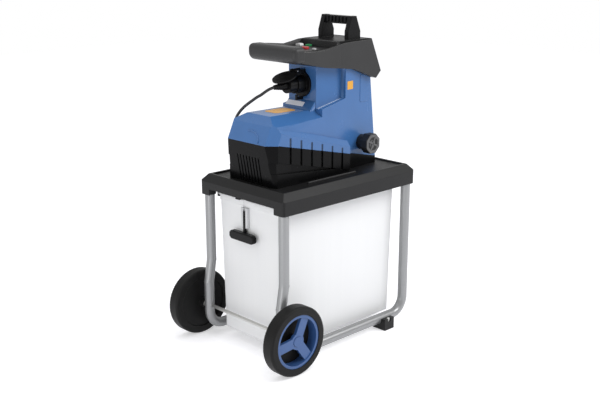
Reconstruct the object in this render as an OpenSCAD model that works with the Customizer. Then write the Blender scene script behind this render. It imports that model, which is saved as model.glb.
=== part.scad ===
// Garden shredder on a tubular stand with a collection box.
// X runs along the machine from the wheels (-) to the feet (+), Y runs across it, Z is up.
// The origin is on the floor, at the middle of the machine's own box.

/* [Tray] */
// Height of the tray's lower edge above the floor
tray_z = 426; // [420:2:440]
// Height of the tray's upright face
tray_face_h = 38; // [34:1:44]
// Width of the sloped band round the top
band_w = 17; // [12:1:20]
// Rise of the sloped band
band_rise = 20; // [16:1:24]
// Depth of the deck below the crest of the band
deck_drop = 4; // [2:0.5:6]
// Wall of the tray
tray_wall = 3.5; // [3:0.5:4.5]
// Radius of the tray's upright corners
tray_corner_r = 8; // [6:1:12]
// Height of the cut-away in the end skirts, over the box
end_notch_h = 18; // [12:1:22]

/* [Stand] */
// Outside diameter of the frame tube
tube_d = 28; // [25:1:30]
// Wall of the frame tube
tube_wall = 1.5; // [1.2:0.1:2.5]
// Height of the bottom rail's centre line
rail_z = 30; // [28:1:34]
// Centre line radius of the tube's lower bends
bend_r = 48; // [42:2:56]
// Length of tube that sits in a tray socket
leg_seat = 40; // [34:1:44]
// Sideways set of the wheel-end legs, down to the axle
dogleg_shift = 11; // [9:0.5:16]
// Height over which the set runs
dogleg_h = 66; // [50:2:90]
// Height at which the set starts
dogleg_z = 232; // [222:2:250]
// Diameter of the axle rod
axle_d = 10; // [8:1:14]

/* [Wheels] */
// Radius of a wheel over its tread
wheel_r = 96; // [90:1:100]
// Width of a tyre
tyre_w = 38; // [32:1:44]
// Radius of the rim the tyre sits on
rim_r = 74; // [68:1:77]
// Depth of the hub's rim ring
rim_t = 8; // [6:1:10]
// Radius of the rounded tyre shoulders
shoulder_r = 7; // [4:1:10]
// Gap between the side tube and the tyre
wheel_gap = 16; // [14:1:22]
// Width of a hub spoke
spoke_w = 27; // [20:1:34]
// Turn of the spokes at rest, in degrees
spoke_turn = 24; // [0:1:60]
// Radius of the hub's middle
hub_boss_r = 22; // [18:1:28]

/* [Feet] */
// Length of a foot along the rail
foot_l = 40; // [36:2:60]
// Reach of a foot outside its rail, from the rail's centre line
foot_out = 29; // [27:1:34]
// Reach of a foot inside its rail, from the rail's centre line
foot_in = 19; // [18:1:22]
// Height of a foot
foot_h = 34; // [32:1:38]
// Distance of the foot's middle from the foot-end legs
foot_inset = 89; // [85:1:120]

/* [Collection box] */
// Length of the box body at its rim
box_l = 444; // [424:2:450]
// Width of the box body at its rim
box_w = 248; // [240:2:250]
// Height of the box floor above the ground
box_z = 30; // [26:1:40]
// How much the box narrows to its floor, on each side
box_taper = 6; // [3:1:10]
// Wall of the box
box_wall = 3; // [2.5:0.5:4]
// Overhang of the rim along the sides
rim_out = 7; // [6:0.5:7]
// Thickness of the rim
rim_h = 4; // [3:0.5:5]
// Drop of the lip at the box ends
lip_h = 17; // [12:1:20]
// Gap between the wheel-end legs and the box
box_gap = 3; // [1:1:10]

/* [Lock] */
// Width of the lock channel
channel_w = 25; // [22:1:30]
// Depth of the lock channel
channel_t = 8; // [7:0.5:10]
// Length of the lock channel
channel_h = 57; // [50:1:64]
// Width of the slider stem
stem_w = 8; // [7:0.5:12]
// Length of the slider's cross bar
tbar_l = 100; // [90:2:120]
// Height of the cross bar
tbar_h = 25; // [20:1:28]
// Travel of the slider
lock_travel = 38; // [30:1:38]

/* [Housing] */
// Distance of the housing's wheel-end face from the tray's end
house_set = 23; // [21:1:28]
// Distance of the housing's rear face from the tray's middle, at the deck
house_rear = 208; // [204:1:214]
// Half width of the ribbed side panels
panel_hw = 99; // [94:1:104]
// Half width of the black base below them
base_hw = 88; // [86:1:92]
// Size of the corner chamfers at the wheel end
house_chamfer = 25; // [20:1:30]
// Height of the seam at the wheel end
seam_z = 594; // [588:1:600]
// Fall of the seam to the rear
seam_drop = 95; // [85:1:105]
// Height of the motor cover
cover_z = 663; // [658:1:666]
// Half width of the motor cover's flat top
cover_top_hw = 46; // [42:1:56]
// Wall of both housings
house_wall = 3; // [2.5:0.5:3.5]
// Half width of the tower at its rear
tower_hw = 62; // [61:0.5:66]
// Half width of the tower at its front
tower_front_hw = 54; // [53:0.5:58]
// Distance of the tower's front face from the tray's middle
tower_front = 30; // [26:1:34]
// Number of side slots
slot_n = 6; // [4:1:6]
// Distance between side slots
slot_pitch = 39.5; // [36:0.5:40]
// Width of a side slot
slot_w = 7; // [3:0.5:9]
// Depth of the side slots in the upper housing
slot_groove = 1.8; // [1:0.1:2]
// Number of slots in the wheel-end vent
vent_n = 8; // [5:1:9]

/* [Hopper] */
// Half width of the hopper over its chute
hopper_hw = 82; // [80:1:86]
// Half width of the hopper at its front lip
lip_end_hw = 97; // [90:1:100]
// Distance of the hopper's front lip from the tray's middle
hopper_front = 146; // [138:1:150]
// Distance of the hopper's lower rear corner from the tray's middle
hopper_rear = 201; // [198:1:204]
// Height of the hopper's rear rim
hopper_z = 845; // [843:0.5:849]
// Wall of the hopper and its chute
hopper_wall = 3; // [2.5:0.5:4]
// Half width of the chute inside
chute_hw = 44; // [43:0.5:45]
// Length of the chute inside
chute_l = 146; // [140:1:150]
// Height of the control panel's face
panel_z = 827; // [825:0.5:829]

/* [Pusher] */
// Height of the handle above the pusher's plate
handle_h = 63.7; // [58:0.1:74]
// Outside width of the handle
handle_w = 118; // [106:2:126]
// Thickness of a handle leg
handle_t = 15; // [12:1:18]
// Length of the plunger under the plate
plunger_h = 116; // [90:2:130]

/* [Cutter] */
// Radius of the drum over its teeth
drum_r = 40; // [38:0.5:41]
// Number of drum teeth
drum_teeth = 8; // [6:1:10]
// Height of the drum's axis
drum_z = 552; // [549:1:555]
// Sideways place of the drum's axis
drum_y = 9; // [7:0.5:10]
// Gap between drum and pressure plate, screw slack
plate_gap = 6; // [5.6:0.1:7]
// Radius of the adjusting knob
knob_r = 30; // [26:1:34]
// Depth of the adjusting knob's head
knob_t = 24; // [18:1:28]
// Length of the knob's neck
knob_neck = 21; // [16:1:26]

/* [Drive] */
// Radius of the motor can
motor_r = 58; // [54:1:62]
// Length of the motor can
motor_l = 125; // [115:1:128]
// Height of the motor's axis
motor_z = 577; // [574:1:580]
// Teeth on both pinions
pinion_n = 12; // [11:1:12]
// Teeth on the idler wheel
idler_n = 40; // [36:1:40]
// Teeth on the drum gear
drum_n = 36; // [33:1:36]
// Module of the motor stage
module_1 = 1.5; // [1.45:0.05:1.5]
// Module of the drum stage
module_2 = 2; // [1.9:0.05:2]

/* [Inlet and lead] */
// Radius of the inlet's flange
inlet_r = 36; // [33:1:38]
// Height of the inlet's axis
inlet_z = 729; // [726:1:732]
// Radius of the inlet's lid
lid_r = 35; // [31:1:35]
// Droop of the lid at rest, in degrees
lid_droop = 21; // [18:1:22]
// Diameter of the lead
cord_d = 8; // [7:0.2:8.2]

/* [Hidden] */
$fn = 64;
fit = 0.05;
slack = 0.3;
clear = 0.5;
over = 1;
far = 400;

// Places shared by the pieces, from the tray's middle
tube_r = tube_d / 2;
axle_r = axle_d / 2;
face_top = tray_z + tray_face_h;
crest_z = face_top + band_rise;
deck_z = crest_z - deck_drop;
socket_r = tube_r + 4;
rim_hw = box_w / 2 + rim_out;
socket_gap = 3;
end_gap = 11;
leg_x = (box_l + box_gap + tube_d + end_gap) / 2;
leg_y = rim_hw + socket_gap + socket_r;
tray_l = 2 * (leg_x + tube_r + clear + tray_wall);
tray_w = 2 * (leg_y + tube_r + clear + tray_wall);
leg_top = tray_z + leg_seat;
axle_x = -leg_x - dogleg_shift;
wheel_in = leg_y + tube_r + wheel_gap;
wheel_out = wheel_in + tyre_w;
axle_end = wheel_out - 6;
foot_x = leg_x - foot_inset;
tray_x = (wheel_r - axle_x - tray_l / 2) / 2;

// Stand
dogleg_a = atan(dogleg_shift / dogleg_h);
dogleg_l = norm([dogleg_shift, dogleg_h]);
dogleg_end = dogleg_z - dogleg_h;
screw_r = 2.5;
screw_head_r = 5;
screw_head_h = 3;
socket_screw_z = tray_z + leg_seat * 0.4;
screw_seat = -leg_y + socket_r - over;
bolt_r = 3;
bolt_head_r = 6;
bolt_head_h = 4;
foot_cheek = 8;
foot_drop = 10;
washer_t = 3;
cap_r = 14;
cap_t = 6;
web_z = 3;
web_t = 4;
spoke_t = 9;
spoke_x0 = hub_boss_r - 6;
cover_back = tyre_w - 5 - spoke_t;

// Box and its runners
box_top = tray_z + 4;
box_x0 = -leg_x + tube_r + box_gap;
box_x1 = box_x0 + box_l;
rim_end = 4;
runner_t = 6;
runner_web = 3;
runner_lap = rim_out - 2;
lip_hw = rim_hw - runner_lap - 3;
stem_t = 5;
tbar_t = 14;
channel_top = box_top - lip_h - 4;
stem_top = channel_top - 10;
stem_l = 58;
tbar_top = stem_top - stem_l;
tbar_cut = 7;
lock_y = 16;
switch_z = stem_top + lock_travel + clear;
switch_h = 26;

// Housing
house_front = tray_l / 2 - house_set;
seam_knee = -house_front + 30;
seam_slope = seam_drop / (house_rear - seam_knee);
house_lean = 19;
cover_shoulder = 21;
face_lean = 22;
face_top_in = 46;
nose_lean = atan(face_lean / (cover_z - cover_shoulder - seam_z) / sqrt(2));
panel_end = 62;
base_chamfer = house_chamfer - 3;
rib_z = 627;
rib_slope = 15.5;
rib_band_w = 13;
rib_band_h = 15;
panel_foot = 46;
plinth_hw = 96;
plinth_z = 520;
plinth_fall = 27;
vent_lift = 4;
cradle_hw = 32;
shoulder_hw = 84;
recess_z = 686;
recess_fall = 20;
tower_top_rear = 179;
slot_x0 = -168;
slot_top_gap = 7;
vent_w = 4.5;
vent_pitch = 12;
vent_h = 72;
ledge_l = 20;
ledge_h = 22;
ledge_hw = 52;
side_lean = 30;
recess_x = 68;
discharge_x0 = 4;
discharge_hw = 46;

// Hopper, as drops below its rear rim
hopper_foot = [[47, 74], [92, 80], [125, 92], [158, 105]];
hopper_front_drop = 65;
hopper_rear_drop = 112;
hopper_draft = 0.1;
draft_drop = 70;
hopper_corner_r = 28;
flare_x = 40;
hopper_rim = [[58, 0.5], [27, 2], [-3, 8], [-26, 12], [-79, 7]];
dip_x0 = -126;
dip_x1 = 166;
dip_sky = -20;
hopper_dip = [[dip_x0, 6], [-114, 17], [-81, 19], [-46, 20], [-11, 18], [24, 12], [60, 6], [106, 4],
    [dip_x1, 3]];
lip_over = [[30, 5], [10, 4], [3, 7], [0, 13]];
lip_under = [[0, 30], [5, 35], [28, 46]];
hopper_rear_low = 93;
hopper_rear_lean = 31;
basin_drop = 75;
ledge_drop = 7;
basin_hw = 70;
panel_t = 4;
deck_x0 = -112;
cavity_x0 = -60;
deck_x1 = 34;
deck_hw = 70;
round_controls = [[19, 25, 9, 4], [-38, -20, 10, 5], [-40, -56, 6, 4]];
rocker_at = [9, 51];
rocker_l = 14;
rocker_w = 20;
rocker_h = 8;
panel_cavity = [[cavity_x0, 49], [-tower_front + 4, 58], [0, 55], [deck_x1 - 1, 28]];
pusher_t = 6;
pusher_z = hopper_z - ledge_drop + slack;
pusher_top = pusher_z + pusher_t;
handle_z = pusher_top + handle_h;
plunger_rib_x = 94;
plunger_rib_t = 6;
handle_x0 = 90;
bar_l = 20;
bar_h = 22;
handle_x1 = 139;

// Cutter
chute_x0 = 4;
chute_z = 620;
frame_x0 = chute_x0 - 12;
frame_x1 = chute_x0 + chute_l + 14;
frame_hw = 58;
frame_t = 6;
frame_z0 = deck_z + house_wall;
drum_x0 = chute_x0 + 2;
drum_l = chute_l - 6;
drum_core_r = drum_r - 7;
shaft_r = 9;
bearing_r = 20;
plate_t = 10;
plate_h = 68;
plate_face = drum_y - drum_r - plate_gap;
knob_x = 140;
screw_x_r = 4;
nut_r = 9;
knob_neck_r = 22;
knob_dish = 6;
knob_base = -tower_hw - (house_rear - knob_x + knob_neck_r) * side_lean / (2 * house_rear) - slack;

// Drive
case_x1 = frame_x0;
case_x0 = case_x1 - 46;
case_t = 3.5;
case_gap = 1.5;
stage_1_x = case_x0 + case_t + 4;
stage_2_x = stage_1_x + 15;
gear_1_t = 10;
gear_2_t = 14;
gear_2_r = module_2 * drum_n / 2;
pinion_2_r = module_2 * pinion_n / 2;
mesh_1 = module_1 * (pinion_n + idler_n) / 2;
mesh_2 = module_2 * (pinion_n + drum_n) / 2;
motor_at = [0, motor_z];
drum_at = [drum_y, drum_z];
span = norm(drum_at - motor_at);
along = (mesh_1 * mesh_1 - mesh_2 * mesh_2 + span * span) / (2 * span);
aside = sqrt(mesh_1 * mesh_1 - along * along);
line = (drum_at - motor_at) / span;
idler_at = motor_at + along * line - aside * [-line[1], line[0]];
idler_r = 6;
motor_shaft_r = 6;
bearing_m_r = 16;
bearing_m_t = 8;
pressure = 25;
backlash = 0.3;
motor_x1 = case_x0;
motor_x0 = motor_x1 - motor_l;
can_t = 3;
rotor_r = 33;
air_gap = 0.6;
core_inset = 22;
fan_r = 48;
fan_t = 14;
fan_gap = 4;
capacitor_r = 14;
capacitor_l = 70;

// Inlet
inlet_x = -tower_front;
inlet_t = 6;
cup_r = 24;
cup_t = 3;
cup_l = 28;
pin_r = 2.4;
pin_pcd = 10;
hinge_r = 2;
hinge_x = inlet_x - inlet_t - 24;
hinge_z = inlet_z + inlet_r + 2;
lid_t = 4;
plug_in = 3;
connector_r = cup_r - cup_t - slack;
connector_l = 52;
relief_l = 46;
relief_x = inlet_x - inlet_t - plug_in - connector_l;
cord_x = relief_x - relief_l;
hook_l = 24;
hook_w = 7;
ear_y = 9;
ear_t = 5;
pin_spots = [for (a = [90, 210, 330]) pin_pcd * [cos(a), sin(a)]];

// Lead: its free stretch by hand, from the strain relief to the coil, and the coil by formula
cord_r = cord_d / 2;
tray_side = tray_w / 2;
coil_at = [10, tray_side + 70];
coil_out = 59;
coil_step = 10.2;
coil_z = cord_r + 1.1;
coil_rise = 9;
coil_turns = 5.625;
coil_start = -90;
loop_rings = 24;
coil_sides = 6;
tie_t = 0.8;
tie_w = 12;
plug_r = 18;
plug_z = plug_r + slack;
plug_l = 52;
plug_relief_l = 36;
plug_pin_gap = 19;
cord_ref = [0.7, 0.7, 0.1];
cord_route = [
    [cord_x, 0, inlet_z], [cord_x - 12, 2, 726], [cord_x - 22, 7, 720], [-169, 15, 711], [-177, 24, 704],
    [-182, 34, 696],
    [-187, 47, 686], [-190, 60, 676], [-191, 73, 665], [-190, 86, 653], [-187, 98, 641], [-183, 107, 626],
    [-178, 112, 607], [-173, 116, 586], [-167, 121, 565], [-159, 129, 546], [-148, 140, 529], [-136, 154,
    514],
    [-125, tray_side + 2, 499], [-116, tray_side + 12, 480], [-110, tray_side + 17, 456], [-106,
    tray_side + 18, 420],
    [-102, tray_side + 18, 370], [-98, tray_side + 18, 310], [-94, tray_side + 17, 250], [-90,
    tray_side + 16, 190],
    [-87, tray_side + 15, 140], [-84, tray_side + 14, 100], [-80, tray_side + 13, 68], [-72,
    tray_side + 12, 42],
    [-60, tray_side + 11, 23], [-44, tray_side + 11, 11], [-26, tray_side + 11, 6], [-8, tray_side + 11,
    coil_z],
    [coil_at[0] - cord_d, coil_at[1] - coil_out, coil_z]
];
cord_sides = 8;

blue = [0.16, 0.33, 0.62];
black = [0.09, 0.09, 0.1];
dark = [0.17, 0.17, 0.18];
steel = [0.68, 0.69, 0.71];
silver = [0.62, 0.63, 0.65];
white = [0.9, 0.91, 0.92];

// Shared shapes

module place() { translate([tray_x, 0, 0]) children(); }

// Extrudes an outline drawn in X and Z to both sides of the middle plane
module across(half) { rotate([90, 0, 0]) linear_extrude(2 * half, center = true) children(); }

// Extrudes an outline drawn in Y and Z from x0 towards the feet
module lengthways(x0, length) { translate([x0, 0, 0]) rotate([90, 0, 90]) linear_extrude(length) children(); }

module rod_x(x0, length, r, at) { translate([x0, at[0], at[1]]) rotate([0, 90, 0]) cylinder(h = length,
    r = r); }

module rod_y(y0, length, r, at) { translate([at[0], y0, at[1]]) rotate([-90, 0, 0]) cylinder(h = length,
    r = r); }

module rounded(length, width, r) {
    square([length - 2 * r, width], center = true);
    square([length, width - 2 * r], center = true);
    for (i = [-1, 1], j = [-1, 1]) translate([i * (length / 2 - r), j * (width / 2 - r)]) circle(r);
}

module slab(x0, x1, half, z0, z1) { translate([x0, -half, z0]) cube([x1 - x0, 2 * half, z1 - z0]); }

module both_sides() { children(); mirror([0, 1, 0]) children(); }

module on_side(side) { if (side < 0) children(); else mirror([0, 1, 0]) children(); }

// Stand

function roof(half, inset, top) = [
    [-half, tray_z - (inset > 0 ? over : 0)], [half, tray_z - (inset > 0 ? over : 0)], [half, face_top],
    [half - band_w, top], [-half + band_w, top], [-half, face_top]];

module tray_form(inset, top) {
    intersection() {
        across(tray_w) polygon(roof(tray_l / 2 - inset, inset, top));
        lengthways(-tray_l, 2 * tray_l) polygon(roof(tray_w / 2 - inset, inset, top));
        linear_extrude(top + over) rounded(tray_l - 2 * inset, tray_w - 2 * inset, tray_corner_r - inset);
    }
}

module at_legs() { for (i = [-1, 1], j = [-1, 1]) translate([i * leg_x, j * leg_y, 0]) children(); }

module runner() {
    under = box_top - rim_h - slack;
    web = rim_hw + clear;
    translate([box_x0 - 4, -web - runner_web, under - runner_t])
        cube([box_l + 30, runner_web, deck_z - under + runner_t - over]);
    translate([box_x0 - 4, -web - over, under - runner_t]) cube([box_l + 30, runner_lap + over, runner_t]);
}

module end_cut(x) {
    half = leg_y - socket_r - over;
    slab(x - 20, x + 20, half, tray_z - over, tray_z + end_notch_h);
}

module top_tray() {
    place() color(black) difference() {
        union() {
            difference() {
                tray_form(0, crest_z);
                tray_form(tray_wall, deck_z - tray_wall);
            }
            intersection() {
                tray_form(0, crest_z);
                at_legs() translate([0, 0, tray_z]) cylinder(h = leg_seat + tray_wall, r = socket_r);
            }
            both_sides() runner();
        }
        translate([0, 0, deck_z]) linear_extrude(band_rise)
            rounded(tray_l - 2 * band_w - 14, tray_w - 2 * band_w - 14, tray_corner_r);
        at_legs() translate([0, 0, tray_z - over]) cylinder(h = leg_seat + over, r = tube_r + fit);
        for (i = [-1, 1]) end_cut(i * tray_l / 2);
        at_unit_bolts() cylinder(h = crest_z, r = bolt_r + fit);
        slab(discharge_x0, discharge_x0 + chute_l, discharge_hw, deck_z - 2 * tray_wall, crest_z);
        for (i = [-1, 1]) both_sides()
            rod_y(-leg_y, socket_r + over, screw_r + fit, [i * leg_x, socket_screw_z]);
        for (i = [-1, 1]) both_sides()
            rod_y(screw_seat, screw_head_h + over + clear, screw_head_r + clear, [i * leg_x, socket_screw_z]);
    }
}

// One bend of the tube path
module path_bend(cx, cz, r, from, turn, tr) {
    translate([cx, 0, cz]) rotate([90, 0, 0]) rotate([0, 0, from])
        rotate_extrude(angle = turn) translate([r, 0]) circle(tr);
}

module path_up(x, z0, z1, tr) { translate([x, 0, z0]) cylinder(h = z1 - z0, r = tr); }

// A shallow bead where two straight lengths of the path meet at a small angle
module path_corner(x, z, tr) { translate([x, 0, z]) sphere(tr + clear); }

// The whole path of a side tube, as a solid of the given radius
module tube_path(tr, extra) {
    path_up(-leg_x, dogleg_z, leg_top + extra, tr);
    path_corner(-leg_x, dogleg_z, tr);
    translate([axle_x, 0, dogleg_end]) rotate([0, dogleg_a, 0]) cylinder(h = dogleg_l, r = tr);
    path_corner(axle_x, dogleg_end, tr);
    path_up(axle_x, rail_z + bend_r, dogleg_end, tr);
    path_bend(axle_x + bend_r, rail_z + bend_r, bend_r, 180, 90, tr);
    rod_x(axle_x + bend_r, leg_x - axle_x - 2 * bend_r, tr, [0, rail_z]);
    path_bend(leg_x - bend_r, rail_z + bend_r, bend_r, 270, 90, tr);
    path_up(leg_x, rail_z + bend_r, leg_top + extra, tr);
}

module side_tube() {
    color(silver) difference() {
        translate([0, -leg_y, 0]) tube_path(tube_r, 0);
        translate([0, -leg_y, 0]) tube_path(tube_r - tube_wall, over);
        rod_y(-leg_y - tube_d, 2 * tube_d, axle_r + fit, [axle_x, wheel_r]);
        rod_y(-leg_y - tube_d, 2 * tube_d, bolt_r + fit, [foot_x, rail_z]);
        for (i = [-1, 1]) rod_y(-leg_y, tube_d, screw_r + fit, [i * leg_x, socket_screw_z]);
    }
}

module near_side_tube() { place() side_tube(); }

module far_side_tube() { place() mirror([0, 1, 0]) side_tube(); }

module axle() { place() color(steel) rod_y(-axle_end, 2 * axle_end, axle_r, [axle_x, wheel_r]); }

// A wheel is drawn with its inner face at zero and its outer face at tyre_w, along local Z
module at_wheel(side) {
    place() on_side(side) translate([axle_x, -wheel_in, wheel_r]) rotate([90, 0, 0]) children();
}

module tyre() {
    color(black) difference() {
        union() {
            rotate_extrude() {
                translate([rim_r + fit, 0]) square([wheel_r - rim_r - shoulder_r - fit, tyre_w]);
                translate([rim_r + fit, shoulder_r]) square([wheel_r - rim_r - fit, tyre_w - 2 * shoulder_r]);
                for (h = [shoulder_r, tyre_w - shoulder_r]) translate([wheel_r - shoulder_r,
                    h]) circle(shoulder_r);
            }
            translate([0, 0, web_z]) cylinder(h = web_t, r = rim_r + over);
            translate([0, 0, -wheel_gap + washer_t + slack])
                cylinder(h = wheel_gap - washer_t - slack + cover_back, r = axle_r + 8);
        }
        translate([0, 0, -wheel_gap]) cylinder(h = tyre_w + wheel_gap, r = axle_r + fit);
    }
}

module near_tyre() { at_wheel(-1) tyre(); }

module far_tyre() { at_wheel(1) tyre(); }

// The cover: a rim ring, three spokes and a middle that the cap sits in
module hub() {
    color(blue) difference() {
        union() {
            rotate_extrude() translate([rim_r - rim_t, web_z + web_t]) square([rim_t,
                tyre_w - 2 - web_z - web_t]);
            translate([0, 0, cover_back]) cylinder(h = spoke_t, r = hub_boss_r);
            for (a = [90, 210, 330]) rotate([0, 0, a - spoke_turn]) translate([spoke_x0, -spoke_w / 2,
                cover_back])
                cube([rim_r - rim_t + over - spoke_x0, spoke_w, spoke_t]);
        }
        translate([0, 0, cover_back - over]) cylinder(h = tyre_w, r = axle_r + fit);
        translate([0, 0, cover_back + spoke_t - cap_t + over]) cylinder(h = tyre_w, r = cap_r + clear);
    }
}

module near_hub() { at_wheel(-1) hub(); }

module far_hub() { at_wheel(1) hub(); }

module wheel_washers() {
    color(steel) for (s = [-1, 1]) at_wheel(s) translate([0, 0, -wheel_gap + slack / 2]) difference() {
        cylinder(h = washer_t - slack / 2, r = axle_r + 5);
        translate([0, 0, -over]) cylinder(h = washer_t + 2 * over, r = axle_r + fit);
    }
}

module axle_caps() {
    color(blue) for (s = [-1, 1]) at_wheel(s) translate([0, 0,
        cover_back + spoke_t - cap_t + over + slack]) difference() {
        cylinder(h = cap_t, r = cap_r);
        translate([0, 0, -over]) cylinder(h = cap_t - 2 + over, r = axle_r + fit);
    }
}

module foot() {
    color(black) difference() {
        translate([foot_x - foot_l / 2, -leg_y - foot_out, 0]) cube([foot_l, foot_out + foot_in, foot_h]);
        rod_x(foot_x - foot_l, 2 * foot_l, tube_r + slack, [-leg_y, rail_z]);
        translate([foot_x - foot_l, -leg_y - tube_r - slack, rail_z]) cube([2 * foot_l, tube_d + 2 * slack,
            foot_h]);
        translate([foot_x - foot_l, -leg_y, rail_z - foot_drop]) cube([2 * foot_l, 2 * foot_in, foot_h]);
        rod_y(-leg_y - foot_out - over, foot_out, bolt_r + fit, [foot_x, rail_z]);
        rod_y(-leg_y - foot_out - over, foot_out - tube_r - foot_cheek + over, bolt_head_r + clear,
            [foot_x, rail_z]);
    }
}

module near_foot() { place() foot(); }

module far_foot() { place() mirror([0, 1, 0]) foot(); }

module foot_bolts() {
    head = -leg_y - tube_r - foot_cheek;
    place() color(steel) both_sides() {
        rod_y(head - over, tube_r + 3 - leg_y - head + over, bolt_r, [foot_x, rail_z]);
        rod_y(head - bolt_head_h, bolt_head_h, bolt_head_r, [foot_x, rail_z]);
    }
}

module socket_screws() {
    start = -leg_y + tube_r - tube_wall - 3;
    place() color(steel) both_sides() for (i = [-1, 1]) {
        rod_y(start, screw_seat - start + over, screw_r, [i * leg_x, socket_screw_z]);
        rod_y(screw_seat, screw_head_h, screw_head_r, [i * leg_x, socket_screw_z]);
    }
}

// Collection box and its lock

function tapered(lo, hi, inset) = [
    [lo + box_taper + inset, box_z + inset], [hi - box_taper - inset, box_z + inset],
    [hi - inset, box_top + (inset > 0 ? over : 0)], [lo + inset, box_top + (inset > 0 ? over : 0)]];

module box_form(inset) {
    intersection() {
        across(tray_w) polygon(tapered(box_x0, box_x1, inset));
        lengthways(-tray_l, 2 * tray_l) polygon(tapered(-box_w / 2, box_w / 2, inset));
    }
}

module collection_box() {
    place() color(white) difference() {
        union() {
            box_form(0);
            slab(box_x0 - rim_end, box_x1 + rim_end, rim_hw, box_top - rim_h, box_top);
            slab(box_x0 - rim_end, box_x0 + box_wall, lip_hw, box_top - lip_h, box_top);
            slab(box_x1 - box_wall, box_x1 + rim_end, lip_hw, box_top - lip_h, box_top);
        }
        box_form(box_wall);
        translate([0, lock_y, 0]) slab(box_x0 - 2 * rim_end, box_x0 - channel_t + stem_t + clear,
            stem_w / 2 + 2,
            box_top - lip_h - over, far * 2);
    }
}

module lock_channel() {
    place() color(silver) difference() {
        translate([0, lock_y, 0])
            slab(box_x0 - channel_t, box_x0 + box_taper, channel_w / 2, channel_top - channel_h, channel_top);
        box_form(0);
        translate([0, lock_y, 0]) slab(box_x0 - 2 * channel_t, box_x0 - channel_t + stem_t + slack,
            stem_w / 2 + slack,
            channel_top - 2 * channel_h, channel_top + over);
    }
}

// An outline with cut corners, from z0 to z1
function barrel(half, z0, z1, cut) = [
    [-half, z0 + cut], [-half + cut, z0], [half - cut, z0], [half, z0 + cut],
    [half, z1 - cut], [half - cut, z1], [-half + cut, z1], [-half, z1 - cut]];

module lock_slider() {
    face = box_x0 - channel_t;
    place() translate([0, lock_y, 0]) color(black) {
        slab(face - slack - over, face + stem_t, stem_w / 2, tbar_top - tbar_h + over, stem_top);
        lengthways(face - slack - tbar_t, tbar_t)
            polygon(barrel(tbar_l / 2, tbar_top - tbar_h, tbar_top, tbar_cut));
    }
}

module safety_switch() {
    place() translate([0, lock_y, 0]) color(dark)
        slab(-tray_l / 2 + tray_wall, box_x0 - over, stem_w, switch_z, switch_z + switch_h);
}

// Housing

function seam_at(x) = seam_z - max(0, x - seam_knee) * seam_slope;

function rib_at(x) = rib_z - tan(rib_slope) * (x + house_front - 32);

function side_hw(x) = tower_hw + (house_rear - x) * side_lean / (2 * house_rear);

function octagon(x0, x1, half, cut, w) = [
    [x0 + w, -half + cut + w * 0.4], [x0 + cut + w * 0.4, -half + w], [x1 - w, -half + w],
    [x1 - w, half - w], [x0 + cut + w * 0.4, half - w], [x0 + w, half - cut - w * 0.4]];

function side_plan(w) = [
    [-house_front + w, -side_hw(-house_front) + house_chamfer - 3],
    [-house_front + house_chamfer + w * 0.4, -side_hw(seam_knee) + w],
    [house_rear - w, -side_hw(house_rear) + w], [house_rear - w, side_hw(house_rear) - w],
    [-house_front + house_chamfer + w * 0.4, side_hw(seam_knee) - w], [-house_front + w,
    side_hw(-house_front) - house_chamfer + 3]];

module prism(outline) { linear_extrude(3 * far) polygon(outline); }

module lower_form(w) {
    floor_z = w > 0 ? deck_z + house_wall : deck_z;
    lift = w > 0 ? over : 0;
    intersection() {
        union() {
            prism(octagon(-house_front, panel_end, base_hw, base_chamfer, w));
            prism(side_plan(w));
            intersection() {
                prism(octagon(-house_front, panel_end, panel_hw, house_chamfer, w));
                across(far) polygon([
                    [-far, seam_z - panel_foot + w], [seam_knee, seam_z - panel_foot + w],
                    [far, seam_at(far) - panel_foot + w], [far, 2 * far], [-far, 2 * far]]);
            }
            intersection() {
                prism(octagon(-house_front, panel_end, plinth_hw, house_chamfer, w));
                across(far) polygon([[-far, 0], [far, 0], [far, plinth_z - plinth_fall * 2 - w],
                    [panel_end, plinth_z - plinth_fall - w], [-house_front, plinth_z - w], [-far,
                    plinth_z - w]]);
            }
        }
        across(far) polygon([
            [-house_front + house_lean + w, floor_z], [house_rear - w, floor_z],
            [house_rear - w, seam_at(house_rear) + lift], [seam_knee, seam_z + lift], [-house_front + w,
            seam_z + lift]]);
    }
}

module side_slots(depth) {
    for (i = [0 : slot_n - 1]) {
        x = slot_x0 + i * slot_pitch;
        low = seam_at(x) - panel_foot;
        both_sides() translate([x - slot_w / 2, -panel_hw - over, low - over])
            cube([slot_w, depth + over, rib_at(x) - slot_top_gap - low + over]);
    }
}

module end_vent() {
    for (i = [0 : vent_n - 1])
        translate([-house_front - over, (i - (vent_n - 1) / 2) * vent_pitch - vent_w / 2, deck_z + vent_lift])
            cube([house_lean + house_wall + 3 * over, vent_w, vent_h]);
}

module at_unit_bolts() {
    for (p = [[-house_front + 40, 52], [house_rear - 22, 42]], j = [-1, 1]) translate([p[0], j * p[1],
        0]) children();
}

module lower_housing() {
    place() color(black) difference() {
        union() {
            difference() {
                lower_form(0);
                lower_form(house_wall);
            }
            difference() {
                for (x = [motor_x0 + 18, motor_x1 - 24])
                    slab(x, x + 6, cradle_hw, deck_z + over, motor_z - motor_r + 10);
                rod_x(motor_x0, motor_l, motor_r + slack, motor_at);
            }
        }
        side_slots(house_wall + over);
        end_vent();
        slab(discharge_x0, discharge_x0 + chute_l, discharge_hw, deck_z - over, deck_z + house_wall + over);
        at_unit_bolts() cylinder(h = deck_z + 20, r = bolt_r + fit);
    }
}

module unit_bolts() {
    place() color(steel) at_unit_bolts() {
        translate([0, 0, deck_z - tray_wall - 8]) cylinder(h = tray_wall + 8 + house_wall + over, r = bolt_r);
        translate([0, 0, deck_z + house_wall]) cylinder(h = bolt_head_h, r = bolt_head_r);
    }
}

function hop_low(w) = [for (p = hopper_foot) [p[0], hopper_z - p[1] - w]];

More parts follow.
